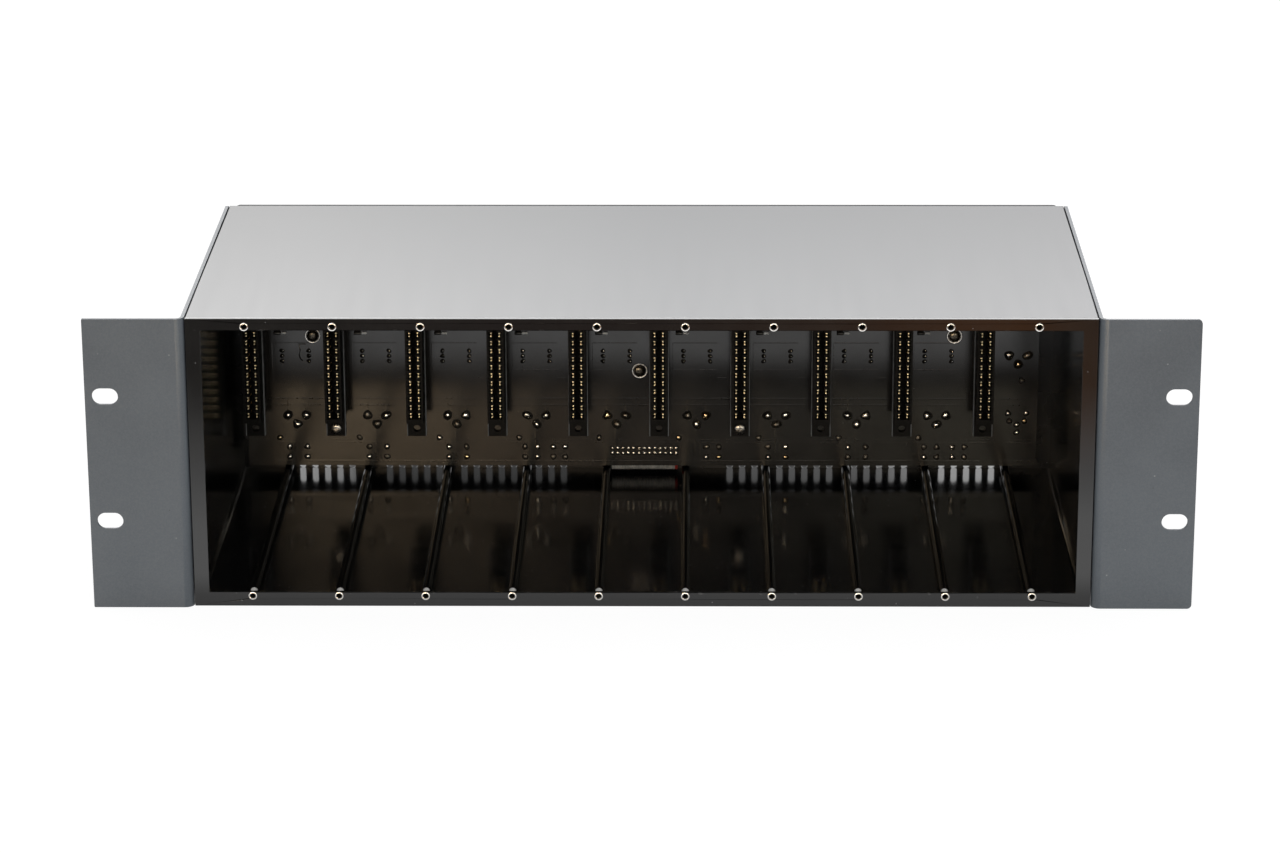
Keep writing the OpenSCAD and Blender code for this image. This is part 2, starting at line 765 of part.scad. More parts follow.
// One solder joint on the face of the board, as high as it is wide at its foot
module solder(x, z, r) {
    translate([x, board_front, z]) rotate([90, 0, 0]) cylinder(h = r, r1 = r, r2 = r / 2, $fn = 16);
}

// All the solder joints on the face of the board
module solder_joints() {
    color(tin) in_frame() {
        for (i = [1:slots]) {
            for (p = poles, z = [out_z(i), input_z]) solder(socket_x(i) + p[0], z + p[1], solder_big_r);
            for (x = low_pads(i), k = [0, 1])
                solder(slot_x(i) + x, board_z0 + pad_rise + k * pad_step, solder_mid_r);
        }
        for (i = [1:slots - 1]) {
            solder(slot_x(i) - single_left, board_z0 + single_rise, solder_mid_r);
            for (s = [-1, 1], k = [-1:1])
                solder(socket_x(i) + s * link_dx, link_z + k * header_pitch, solder_small_r);
        }
        for (a = inlet_angles)
            solder(socket_x(slots) + inlet_pad_r * cos(a), inlet_z + inlet_pad_r * sin(a), solder_mid_r);
        solder(socket_x(slots), inlet_z - inlet_barrel_r, solder_mid_r);
        solder(socket_x(slots) + ground_pad[0], last_output_z + ground_pad[1], solder_mid_r);
        for (k = [0:header_pins - 1], s = [-1, 1])
            solder(
                (k - (header_pins - 1) / 2) * header_pitch - ribbon_left,
                header_z + s * header_pitch / 2, solder_small_r
            );
    }
}

// Small parts on the face of the board, one for each module that has link pads
module board_parts() {
    color(black_plastic) in_frame() for (i = [1:slots - 1])
        translate([slot_x(i) - part_left, board_front - part_t, part_z]) cube([part_l, part_t, part_h]);
}

// Flat cable that loops under the board to the multi-way socket
module ribbon_cable() {
    color(grey_cable) in_frame() translate([-ribbon_left - ribbon_w / 2, 0, 0])
        rotate([90, 0, 90]) linear_extrude(ribbon_w) {
            translate([(header_y + multi_body_y) / 2, loop_z]) difference() {
                circle(loop_r + ribbon_t / 2);
                circle(loop_r - ribbon_t / 2);
                translate([-far, 0]) square(2 * far);
            }
            translate([header_y - ribbon_t / 2, loop_z]) square([ribbon_t, header_bottom - loop_z]);
            translate([multi_body_y - ribbon_t / 2, loop_z]) square([ribbon_t, multi_bottom - loop_z]);
        }
}

// Connector on the back of the board that grips the ribbon
module ribbon_connector() {
    color(black_plastic) in_frame() block(
        [-ribbon_left - header_l / 2, board_back, header_bottom],
        [-ribbon_left + header_l / 2, board_back + header_t, header_bottom + header_h]
    );
}

// Outline of the multi-way socket's shell, narrower at the bottom
module shell_outline(inset) {
    w = shell_w / 2 - inset;
    h = shell_h / 2 - inset;
    polygon([[-w, h], [w, h], [w - shell_taper, -h], [shell_taper - w, -h]]);
}

// Multi-way socket in the rear panel
module multiway_socket() {
    shell_wall = 0.6;
    insert_set = 1;
    shell_end = rear_out + shell_reach;
    color(nickel) in_frame() translate([-ribbon_left, 0, multi_z]) difference() {
        union() {
            block(
                [multi_body_in - shell_w / 2, rear_in - multi_body_t, -multi_body_h / 2],
                [shell_w / 2 - multi_body_in, rear_in, multi_body_h / 2]
            );
            plate_y(rear_in - eps, shell_end) shell_outline(0);
            plate_y(rear_out, rear_out + multi_t)
                round_rect([-multi_w / 2, -multi_h / 2], [multi_w / 2, multi_h / 2], socket_corner_r);
        }
        plate_y(shell_end - insert_set, shell_end + eps) shell_outline(shell_wall);
        for (k = [0:multi_columns - 1], row = [0, 1])
            if (k + row < multi_columns)
                rod_y(
                    (k + (row - multi_columns + 1) / 2) * multi_pitch, (1 - 2 * row) * multi_row,
                    multi_hole_r, shell_end - multi_hole_d, shell_end
                );
        for (s = [-1, 1]) rod_y(s * jack_x, 0, tap_r, rear_out - eps, rear_out + multi_t + eps);
    }
}

// Threaded posts beside the multi-way socket
module jack_posts() {
    y0 = rear_out + multi_t;
    color(nickel) in_frame() for (s = [-1, 1])
        translate([s * jack_x - ribbon_left, 0, multi_z]) difference() {
            translate([0, y0, 0]) rotate([-90, 0, 0]) cylinder(h = jack_l, r = jack_r, $fn = 6);
            rod_y(0, 0, tap_r, y0 - eps, y0 + jack_l + eps);
        }
}

// Round power inlet with five contacts
module power_inlet() {
    floor_y = socket_back - inlet_groove_d;
    color(black_plastic) in_frame() translate([socket_x(slots), 0, inlet_z]) difference() {
        union() {
            rod_y(0, 0, inlet_barrel_r, board_back, rear_out);
            rod_y(0, 0, inlet_r, rear_out, socket_back);
        }
        difference() {
            rod_y(0, 0, inlet_groove_out, floor_y, socket_back + eps);
            rod_y(0, 0, inlet_groove_in, floor_y - eps, socket_back + 2 * eps);
        }
        for (a = inlet_angles)
            rod_y(inlet_pole_r * cos(a), inlet_pole_r * sin(a), inlet_hole_r, floor_y, socket_back + eps);
    }
}

// Barrel and flange shared by the input and output sockets
module socket_body() {
    rod_y(0, 0, socket_r, board_back, rear_out);
    plate_y(rear_out, socket_back)
        round_rect([-socket_w / 2, -socket_h / 2], [socket_w / 2, socket_h / 2], socket_corner_r);
}

// Holes for the two screws of a socket
module socket_screw_holes() {
    for (s = [-1, 1])
        rod_y(s * socket_screw_dx, s * socket_screw_dz, screw_hole_r, rear_out - eps, socket_back + eps);
}

// Output socket of module i: a hollow with three pins
module output_socket(i) {
    color(black_plastic) in_frame() translate([socket_x(i), 0, out_z(i)]) difference() {
        socket_body();
        rod_y(0, 0, cavity_r, socket_back - cavity_d, socket_back + eps);
        socket_screw_holes();
    }
}

// Input socket of module i: a ring groove around a core with three holes
module input_socket(i) {
    color(black_plastic) in_frame() translate([socket_x(i), 0, input_z]) difference() {
        socket_body();
        difference() {
            rod_y(0, 0, groove_r, socket_back - cavity_d, socket_back + eps);
            rod_y(0, 0, core_r, socket_back - cavity_d - eps, socket_back + 2 * eps);
        }
        for (p = poles) rod_y(p[0], p[1], pin_r + sleeve_t + fit, socket_back - cavity_d, socket_back + eps);
        socket_screw_holes();
    }
}

// Pins of all the output sockets
module output_pins() {
    color(gold) in_frame() for (i = [1:slots], p = poles)
        rod_y(socket_x(i) + p[0], out_z(i) + p[1], pin_r, socket_back - cavity_d, socket_back - pin_set);
}

// Contact sleeves of all the input sockets
module input_contacts() {
    sleeve_floor = socket_back - cavity_d;
    sleeve_base = 1;
    sleeve_set = 1;
    color(gold) in_frame() for (i = [1:slots], p = poles) difference() {
        rod_y(socket_x(i) + p[0], input_z + p[1], pin_r + sleeve_t, sleeve_floor, socket_back - sleeve_set);
        rod_y(socket_x(i) + p[0], input_z + p[1], pin_r, sleeve_floor + sleeve_base, socket_back);
    }
}

// Screws that hold the sockets to the rear panel
module socket_screws() {
    color(nickel) in_frame() for (i = [1:slots], z = [out_z(i), input_z], s = [-1, 1])
        pan_screw(
            socket_x(i) + s * socket_screw_dx, socket_back, z + s * socket_screw_dz,
            1, socket_head_r, socket_t + rear_t
        );
}

front_frame();
top_cover();
bottom_tray();
side_panel(-1);  // left_side_panel
side_panel(1);  // right_side_panel
rear_panel();
backplane_board();
edge_contacts();
tie_rods(low_z);  // bottom_tie_rods
tie_rods(high_z);  // top_tie_rods
inserts(low_z);  // bottom_inserts
inserts(high_z);  // top_inserts
rod_screws();
side_screws();
board_screws();
board_washers();
board_standoffs();
connector_screws();
connector_spacers();
solder_joints();
board_parts();
ribbon_cable();
ribbon_connector();
multiway_socket();
jack_posts();
power_inlet();
output_pins();
input_contacts();
socket_screws();
for (i = [1:slots]) {
    edge_connector(i);
    output_socket(i);
    input_socket(i);
}
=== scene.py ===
import math
import random

import bmesh
import bpy
from mathutils import Matrix, Vector

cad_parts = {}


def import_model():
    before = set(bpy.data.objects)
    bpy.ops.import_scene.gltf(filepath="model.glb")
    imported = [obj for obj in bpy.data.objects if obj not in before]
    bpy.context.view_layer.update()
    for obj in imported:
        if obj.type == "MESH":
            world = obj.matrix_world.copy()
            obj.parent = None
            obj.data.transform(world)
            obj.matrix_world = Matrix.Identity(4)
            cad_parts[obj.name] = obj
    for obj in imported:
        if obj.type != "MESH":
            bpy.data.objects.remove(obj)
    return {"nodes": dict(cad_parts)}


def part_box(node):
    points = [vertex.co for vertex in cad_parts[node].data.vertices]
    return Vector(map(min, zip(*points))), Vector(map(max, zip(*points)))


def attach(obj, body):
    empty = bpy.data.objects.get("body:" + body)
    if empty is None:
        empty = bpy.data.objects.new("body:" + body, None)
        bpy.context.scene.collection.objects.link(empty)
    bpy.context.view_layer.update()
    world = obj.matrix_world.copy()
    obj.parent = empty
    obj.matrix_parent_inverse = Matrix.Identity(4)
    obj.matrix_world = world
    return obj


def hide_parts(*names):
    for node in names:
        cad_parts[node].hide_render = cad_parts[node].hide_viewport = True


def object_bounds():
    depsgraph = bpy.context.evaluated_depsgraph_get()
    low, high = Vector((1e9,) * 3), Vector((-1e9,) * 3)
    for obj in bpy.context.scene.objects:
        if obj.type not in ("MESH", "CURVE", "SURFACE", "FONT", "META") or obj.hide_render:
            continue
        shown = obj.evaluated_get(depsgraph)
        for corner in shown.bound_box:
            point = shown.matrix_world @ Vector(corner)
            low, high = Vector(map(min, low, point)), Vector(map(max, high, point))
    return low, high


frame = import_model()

cad_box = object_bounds()
nodes = frame["nodes"]
scene = bpy.context.scene
dice = random.Random(7)

SLOTS = 10
MM = 0.001
WELD = 1e-6
FRONT = Vector((0, -1, 0))
BACK = Vector((0, 1, 0))

# Faces of a box whose first four points lie round one end, and the others round the far end
BOX_FACES = [(0, 1, 2, 3), (4, 5, 6, 7), (0, 1, 5, 4), (1, 2, 6, 5), (2, 3, 7, 6), (3, 0, 4, 7)]

# Camera, in metres and degrees
CAMERA_PLACE = Vector((0.02331, -1.80550, 0.65086))
CAMERA_PITCH = 18.349
CAMERA_YAW = -0.8008
CAMERA_ROLL = 0.1941
CAMERA_LENS = 116.754
CAMERA_SENSOR = 36.0

# Point that the lamps face, in metres
LAMP_TARGET = Vector((0, 0, 0.07))

# Strengths of the lamps, the world and the cards, and greys of the floor, where 1 is white
KEY = 5.0
HIGH = 2.0
AMBIENT = 0.62
FLOOR_WHITE = 0.88
FLOOR_LIT = 0.2
FLOOR_PALE = 0.8
FLOOR_MIRROR = 1.38
BACK_GLOW = 3.92
LOW_GLOW = 2.0
FRONT_GLOW = 16.0
STRIP_GLOW = 7.0


# Shapes


class Shape:
    """Points, faces and material numbers of one piece, in metres."""

    def __init__(self):
        self.points = []
        self.faces = []
        self.marks = []

    def add(self, points, faces, mark=0):
        start = len(self.points)
        self.points.extend(Vector(p) for p in points)
        self.faces.extend(tuple(start + k for k in face) for face in faces)
        self.marks.extend([mark] * len(faces))

    def lathe(self, origin, axis, profile, sides, mark=0, closed=False, wobble=None):
        """Turns (radius, distance) pairs round an axis; closed joins the last ring to the first."""
        u = axis.orthogonal().normalized()
        v = axis.cross(u)
        points = []
        rings = []
        for radius, along in profile:
            ring = []
            count = sides if radius > WELD else 1
            for k in range(count):
                angle = 2 * math.pi * k / sides
                swell = wobble(angle) if wobble else 1.0
                ring.append(len(points))
                outwards = u * math.cos(angle) + v * math.sin(angle)
                points.append(origin + axis * along + outwards * radius * swell)
            rings.append(ring)
        pairs = list(zip(rings, rings[1:]))
        if closed:
            pairs.append((rings[-1], rings[0]))
        faces = []
        for a, b in pairs:
            for k in range(sides):
                n = (k + 1) % sides
                if len(a) == 1 and len(b) == 1:
                    continue
                if len(a) == 1:
                    faces.append((a[0], b[k], b[n]))
                elif len(b) == 1:
                    faces.append((a[k], a[n], b[0]))
                else:
                    faces.append((a[k], a[n], b[n], b[k]))
        if not closed and len(rings[0]) > 1:
            faces.append(tuple(reversed(rings[0])))
        if not closed and len(rings[-1]) > 1:
            faces.append(tuple(rings[-1]))
        self.add(points, faces, mark)

    def prism(self, outline, place):
        """Joins two copies of an outline; place(p, end) gives a point of the near or the far end."""
        n = len(outline)
        points = [place(p, 0) for p in outline] + [place(p, 1) for p in outline]
        faces = [tuple(range(n)), tuple(range(2 * n - 1, n - 1, -1))]
        faces += [(k, n + k, n + (k + 1) % n, (k + 1) % n) for k in range(n)]
        self.add(points, faces)

    def strip(self, x0, z0, x1, z1, y, height, width):
        """A thin raised line on a face at depth y that looks to the front, with sloped sides."""
        along = Vector((x1 - x0, 0, z1 - z0))
        side = Vector((along.z, 0, -along.x)).normalized() * width / 2
        a = Vector((x0, y, z0))
        b = Vector((x1, y, z1))
        rise = FRONT * height
        top = 0.6
        points = [a - side, a + side, b + side, b - side]
        side = side * top
        points += [p + rise for p in (a - side, a + side, b + side, b - side)]
        self.add(points, BOX_FACES)

    def tube(self, path, radius, sides, mark=0):
        """A round wire along a list of points."""
        points = []
        for k, p in enumerate(path):
            ahead = path[min(k + 1, len(path) - 1)] - path[max(k - 1, 0)]
            ahead.normalize()
            u = ahead.cross(Vector((0.31, 0.77, 0.55))).normalized()
            v = ahead.cross(u)
            for s in range(sides):
                angle = 2 * math.pi * s / sides
                points.append(p + (u * math.cos(angle) + v * math.sin(angle)) * radius)
        faces = [tuple(range(sides)), tuple(range(len(points) - 1, len(points) - sides - 1, -1))]
        for k in range(len(path) - 1):
            for s in range(sides):
                n = (s + 1) % sides
                faces.append((k * sides + s, k * sides + n, (k + 1) * sides + n, (k + 1) * sides + s))
        self.add(points, faces, mark)


def mesh_of(name, shape):
    """The mesh of a shape, with all its faces looking outwards."""
    mesh = bpy.data.meshes.new(name)
    mesh.from_pydata(shape.points, [], shape.faces)
    mesh.polygons.foreach_set("material_index", shape.marks)
    work = bmesh.new()
    work.from_mesh(mesh)
    bmesh.ops.recalc_face_normals(work, faces=work.faces)
    work.to_mesh(mesh)
    work.free()
    return mesh


def make_piece(name, shape, looks, replaced=(), crease=35):
    """Makes an object of a shape, riding on the part; replaced are the solids that it stands for."""
    mesh = mesh_of(name, shape)
    for look in looks:
        mesh.materials.append(look)
    mesh.polygons.foreach_set("use_smooth", [True] * len(mesh.polygons))
    mesh.set_sharp_from_angle(angle=math.radians(crease))
    piece = bpy.data.objects.new(name, mesh)
    scene.collection.objects.link(piece)
    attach(piece, "root")
    if replaced:
        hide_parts(*replaced)


def islands(node):
    """Boxes of a node's separate solids as (low, high), from left to right and then upwards."""
    work = bmesh.new()
    work.from_mesh(nodes[node].data)
    bmesh.ops.remove_doubles(work, verts=work.verts, dist=WELD)
    seen = set()
    boxes = []
    for start in work.verts:
        if start in seen:
            continue
        seen.add(start)
        stack = [start]
        found = []
        while stack:
            vert = stack.pop()
            found.append(vert.co)
            for edge in vert.link_edges:
                other = edge.other_vert(vert)
                if other not in seen:
                    seen.add(other)
                    stack.append(other)
        low = Vector(min(p[k] for p in found) for k in range(3))
        high = Vector(max(p[k] for p in found) for k in range(3))
        boxes.append((low, high))
    work.free()
    return sorted(boxes, key=lambda b: (round(b[0].x, 5), round(b[0].z, 5)))


def grey(value):
    return (value, value, value)


def middle(box):
    return (box[0] + box[1]) / 2


# Materials


class Look:
    """A material and the short-cuts that build its nodes."""

    def __init__(self, name, colour, rough, **sockets):
        self.material = bpy.data.materials.new(name)
        self.material.use_nodes = True
        self.tree = self.material.node_tree
        self.shader = self.tree.nodes["Principled BSDF"]
        self.shader.inputs["Base Color"].default_value = (*colour, 1)
        self.shader.inputs["Roughness"].default_value = rough
        for socket, value in sockets.items():
            self.shader.inputs[socket.replace("_", " ")].default_value = value

    def node(self, kind, inputs=(), **settings):
        node = self.tree.nodes.new(kind)
        for key, value in settings.items():
            setattr(node, key, value)
        for key, value in dict(inputs).items():
            if isinstance(value, bpy.types.NodeSocket):
                self.tree.links.new(value, node.inputs[key])
            else:
                node.inputs[key].default_value = value
        return node

    def link(self, value, socket):
        self.tree.links.new(value, self.shader.inputs[socket])

    def source(self, socket):
        """What is linked to a socket of the shader so far."""
        return self.shader.inputs[socket].links[0].from_socket

    def place(self, stretch=(1, 1, 1)):
        """The point on the part, in metres, with each axis scaled."""
        here = self.node("ShaderNodeTexCoord").outputs["Object"]
        return self.node("ShaderNodeMapping", {"Vector": here, "Scale": stretch}).outputs["Vector"]

    def axis(self, name):
        here = self.node("ShaderNodeTexCoord").outputs["Object"]
        return self.node("ShaderNodeSeparateXYZ", {"Vector": here}).outputs[name]

    def noise(self, scale, detail, stretch=(1, 1, 1)):
        inputs = {"Vector": self.place(stretch), "Scale": scale, "Detail": detail}
        return self.node("ShaderNodeTexNoise", inputs).outputs["Fac"]

    def spread(self, value, a, b, low=0.0, high=1.0):
        """Maps a..b to low..high and clamps."""
        inputs = {"Value": value, "From Min": a, "From Max": b, "To Min": low, "To Max": high}
        return self.node("ShaderNodeMapRange", inputs).outputs["Result"]

    def maths(self, operation, a, b):
        return self.node("ShaderNodeMath", {0: a, 1: b}, operation=operation).outputs["Value"]

    def between(self, value, low, high, soft):
        """One inside low..high, fading to nothing over soft."""
        rise = self.spread(value, low - soft, low)
        fall = self.spread(value, high, high + soft, 1.0, 0.0)
        return self.maths("MULTIPLY", rise, fall)

    def specks(self, scale, size, share):
        """Sparse round specks; share is the part of the cells that has one."""
        cells = self.node("ShaderNodeTexVoronoi", {"Vector": self.place(), "Scale": scale})
        spot = self.spread(cells.outputs["Distance"], size * 0.5, size, 1.0, 0.0)
        tint = self.node("ShaderNodeSeparateColor", {"Color": cells.outputs["Color"]}).outputs["Red"]
        chosen = self.spread(tint, 1 - share, 1 - share + 0.01)
        return self.maths("MULTIPLY", spot, chosen)

    def mixed(self, mask, a, b):
        node = self.node("ShaderNodeMix", data_type="RGBA")
        self.tree.links.new(mask, node.inputs[0])
        for k, colour in ((6, a), (7, b)):
            if isinstance(colour, bpy.types.NodeSocket):
                self.tree.links.new(colour, node.inputs[k])
            else:
                node.inputs[k].default_value = (*colour, 1)
        return node.outputs[2]

    def bump(self, height, distance, strength):
        inputs = {"Height": height, "Distance": distance, "Strength": strength}
        self.link(self.node("ShaderNodeBump", inputs).outputs["Normal"], "Normal")


def paint_look(name, colour, rough, worn, dust, specular=0.5):
    """Sprayed paint: faint orange peel, uneven gloss, a few specks of dust."""
    look = Look(name, colour, rough, IOR=1.6, Specular_IOR_Level=specular)
    wiped = look.noise(60.0, 4.0)
    look.link(look.spread(wiped, 0.3, 0.75, rough * (1 - worn), rough * (1 + worn)), "Roughness")
    cloud = look.noise(25.0, 3.0)
    base = look.mixed(look.spread(cloud, 0.35, 0.75), colour, tuple(c * 1.35 for c in colour))
    specks = look.specks(420.0, 0.13, dust)
    look.link(look.mixed(specks, base, grey(0.16)), "Base Color")
    look.bump(look.noise(900.0, 2.0), 0.00002, 0.25)
    return look


def metal_look(name, colour, rough, grain, spot=None, spot_share=0.5, metallic=1.0):
    """Plated metal: uneven gloss, fine grain, and stains where spot is given."""
    look = Look(name, colour, rough, Metallic=metallic)
    look.link(look.spread(look.noise(grain, 3.0), 0.3, 0.7, rough * 0.7, rough * 1.4), "Roughness")
    if spot:
        stain = look.spread(look.noise(grain * 0.35, 3.0), 0.62 - spot_share * 0.3, 0.75)
        look.link(look.mixed(stain, colour, spot), "Base Color")
    look.bump(look.noise(grain * 1.5, 2.0), 0.00003, 0.4)
    return look


def plastic_look(name, colour, rough, specular=0.5):
    """Moulded plastic: matt grain and a little dust."""
    look = Look(name, colour, rough, IOR=1.5, Specular_IOR_Level=specular)
    look.link(look.spread(look.noise(700.0, 3.0), 0.3, 0.7, rough * 0.8, rough * 1.25), "Roughness")
    cloud = look.spread(look.noise(180.0, 3.0), 0.4, 0.8)
    base = look.mixed(cloud, colour, tuple(c * 1.6 for c in colour))
    look.link(look.mixed(look.specks(600.0, 0.12, 0.05), base, (0.12, 0.115, 0.11)), "Base Color")
    look.bump(look.noise(2500.0, 2.0), 0.00002, 0.5)
    return look


def cover_look():
    """Satin black paint of the cover, wiped along its depth, with small chips on its front edge."""
    colour = (0.0055, 0.0055, 0.006)
    look = Look("cover_paint", colour, 0.22, IOR=1.5)
    wiped = look.noise(160.0, 5.0, (1.0, 0.06, 1.0))
    look.link(look.spread(wiped, 0.3, 0.75, 0.15, 0.19), "Roughness")
    smear = look.spread(look.noise(14.0, 4.0), 0.52, 0.8)
    base = look.mixed(smear, colour, (0.016, 0.016, 0.017))
    low_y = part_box("top_cover")[0].y
    edge = look.between(look.axis("Y"), low_y - 0.001, low_y + 0.0006, 0.0008)
    chips = look.maths("MULTIPLY", edge, look.spread(look.noise(500.0, 2.0, (1, 0.3, 1)), 0.66, 0.72))
    look.link(look.mixed(chips, base, (0.22, 0.21, 0.2)), "Base Color")
    look.bump(look.noise(700.0, 2.0), 0.00002, 0.2)
    return look.material


def frame_look():
    """Black paint of the front ring, with scuffs along its edges, a few specks, and a painted highlight
    along its top edge.
    """
    look = paint_look("frame_paint", (0.006, 0.006, 0.006), 0.16, worn=0.3, dust=0.05)
    low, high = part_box("front_frame")
    height = look.axis("Z")
    lower_edge = look.between(height, low.z + LIP_LOW - 0.0009, low.z + LIP_LOW, 0.0004)
    upper_edge = look.between(height, high.z - LIP_HIGH, high.z - LIP_HIGH + 0.0003, 0.0003)
    flecks = look.spread(look.noise(420.0, 4.0, (0.5, 1, 1)), 0.65, 0.75)
    edges = look.maths("MAXIMUM", lower_edge, upper_edge)
    scuffs = look.maths("MULTIPLY", edges, flecks)
    base = look.source("Base Color")
    worn = look.mixed(scuffs, base, (0.1, 0.095, 0.09))
    # Pale band along the top edge: a painted highlight
    painted_highlight = look.between(height, high.z - 0.0002, high.z + 0.001, 0.0001)
    look.link(look.mixed(painted_highlight, worn, (0.2, 0.2, 0.2)), "Base Color")
    return look.material


def slate_look():
    """Slate-grey paint of the side panels: fine texture, dust and small chips."""
    colour = (0.089, 0.103, 0.118)
    look = Look("slate_paint", colour, 0.45, IOR=1.45, Specular_IOR_Level=0.5)
    cloud = look.spread(look.noise(30.0, 4.0), 0.35, 0.75)
    fine = look.spread(look.noise(1500.0, 2.0), 0.35, 0.7)
    base = look.mixed(cloud, tuple(c * 0.94 for c in colour), tuple(c * 1.07 for c in colour))
    base = look.mixed(look.maths("MULTIPLY", fine, 0.25), base, (0.16, 0.17, 0.18))
    chips = look.specks(260.0, 0.12, 0.045)
    base = look.mixed(chips, base, (0.22, 0.23, 0.24))
    dark = look.specks(310.0, 0.1, 0.04)
    look.link(look.mixed(dark, base, (0.05, 0.055, 0.06)), "Base Color")
    high_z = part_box("left_side_panel")[1].z
    cut_edge = look.between(look.axis("Z"), high_z - 0.0001, high_z + 0.001, 0.0001)
    rough = look.mixed(cut_edge, look.spread(cloud, 0.0, 1.0, 0.4, 0.52), grey(0.22))
    look.link(rough, "Roughness")
    look.link(look.spread(cut_edge, 0.0, 1.0, 0.5, 0.26), "Specular IOR Level")
    look.bump(look.noise(2200.0, 3.0), 0.00004, 0.5)
    return look.material


def rear_look():
    """Satin black paint of the rear panel."""
    look = paint_look("rear_paint", (0.005, 0.005, 0.0052), 0.28, worn=0.25, dust=0.06, specular=0.25)
    high_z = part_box("rear_panel")[1].z
    cut_edge = look.between(look.axis("Z"), high_z - 0.0003, high_z + 0.001, 0.0002)
    look.link(look.spread(cut_edge, 0.0, 1.0, 0.25, 0.02), "Specular IOR Level")
    return look.material


def board_look(name, colour, light):
    """Dark glossy solder mask with uneven depth of colour."""
    look = Look(name, colour, 0.09, IOR=1.52)
    cloud = look.spread(look.noise(40.0, 4.0), 0.3, 0.75)
    weave = look.spread(look.noise(900.0, 2.0, (1, 1, 0.5)), 0.35, 0.7)
    base = look.mixed(cloud, colour, light)
    base = look.mixed(look.maths("MULTIPLY", weave, 0.2), base, tuple(c * 1.5 for c in light))
    look.link(look.mixed(look.specks(330.0, 0.1, 0.04), base, (0.07, 0.065, 0.06)), "Base Color")
    look.link(look.spread(look.noise(50.0, 3.0), 0.3, 0.7, 0.13, 0.19), "Roughness")
    look.bump(look.noise(350.0, 2.0), 0.00003, 0.15)
    return look.material


def connector_look():
    """Matt black connector plastic, with a painted highlight along the side edges of its flange."""
    look = plastic_look("connector_plastic", (0.0042, 0.004, 0.0038), 0.6, specular=0.1)
    along = look.maths("SUBTRACT", look.axis("X"), CONNECTOR_X - CONNECTOR_STEP / 2)
    turn = look.maths("FLOORED_MODULO", along, CONNECTOR_STEP)
    aside = look.maths("ABSOLUTE", look.maths("SUBTRACT", turn, CONNECTOR_STEP / 2), 0.0)
    # The pale rim on the flange's side edges is a painted highlight
    rim = look.spread(aside, FLANGE_HALF - 0.0005, FLANGE_HALF - 0.0003)
    level = look.between(look.axis("Y"), FLANGE_Y - 0.0001, FLANGE_Y + 0.0036, 0.0001)
    patchy = look.spread(look.noise(240.0, 3.0), 0.25, 0.6, 0.6, 1.0)
    painted_highlight = look.maths("MULTIPLY", look.maths("MULTIPLY", rim, level), patchy)
    base = look.source("Base Color")
    look.link(look.mixed(painted_highlight, base, (0.2, 0.2, 0.195)), "Base Color")
    return look.material


# Sizes on the part that the frame doesn't give
SCREW_SHANK = 1.2 * MM
SCREW_HEAD = 1.8 * MM
THREAD_PITCH = 0.45 * MM
PIN_GROUP_Z = 55 * MM
SMALL_JOINT = 0.85 * MM
BIG_JOINT = 1.3 * MM
LIP_LOW = 6.5 * MM
LIP_HIGH = 5.4 * MM
CELL_DEPTH = 12 * MM

# Places of the connectors, from the frame
FLANGE_LOW, FLANGE_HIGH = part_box("edge_connector_1")
FLANGE_Y = FLANGE_LOW.y + CELL_DEPTH
FLANGE_HALF = (FLANGE_HIGH.x - FLANGE_LOW.x) / 2
CONNECTOR_X = middle((FLANGE_LOW, FLANGE_HIGH)).x
CONNECTOR_STEP = middle(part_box("edge_connector_2")).x - CONNECTOR_X

# Edges that turn by more than this many degrees are rounded
SHARP_EDGE = 40

# Grains per metre on plated surfaces, and the colours of some stains
GOLD_GRAIN = 2600.0
PLATE_GRAIN = 1500.0
TIN_GRAIN = 1300.0
GOLD_STAIN = (0.2, 0.12, 0.04)
BOARD_STAIN = (0.04, 0.036, 0.03)
TIN_STAIN = (0.07, 0.065, 0.06)

# Paints: roughness, how uneven it is, dust and gloss. Plastics: roughness and gloss.
# Metals: roughness, grain, the colour and share of stains, and how metallic.
COVER = cover_look()
TRAY = paint_look("tray_paint", (0.004, 0.004, 0.0042), 0.13, worn=0.2, dust=0.06, specular=0.4).material
FRAME = frame_look()
REAR = rear_look()
SLATE = slate_look()
ROD = paint_look("rod_black", (0.002, 0.002, 0.0022), 0.09, worn=0.3, dust=0.015, specular=0.02).material
BOARD = board_look("board_mask", (0.009, 0.0072, 0.0052), (0.014, 0.011, 0.008))
TRACE = board_look("trace_mask", (0.014, 0.011, 0.008), (0.02, 0.0155, 0.011))
CONNECTOR = connector_look()
SOCKET = plastic_look("socket_plastic", (0.013, 0.013, 0.0135), 0.38).material
HEADER = plastic_look("header_plastic", (0.012, 0.012, 0.012), 0.5).material
PART_DARK = plastic_look("part_dark", (0.02, 0.018, 0.016), 0.35).material
PART_PALE = plastic_look("part_pale", (0.82, 0.8, 0.75), 0.35).material
GOLD = metal_look("gold_plate", (0.86, 0.6, 0.24), 0.22, GOLD_GRAIN, (0.5, 0.3, 0.1), 0.3).material
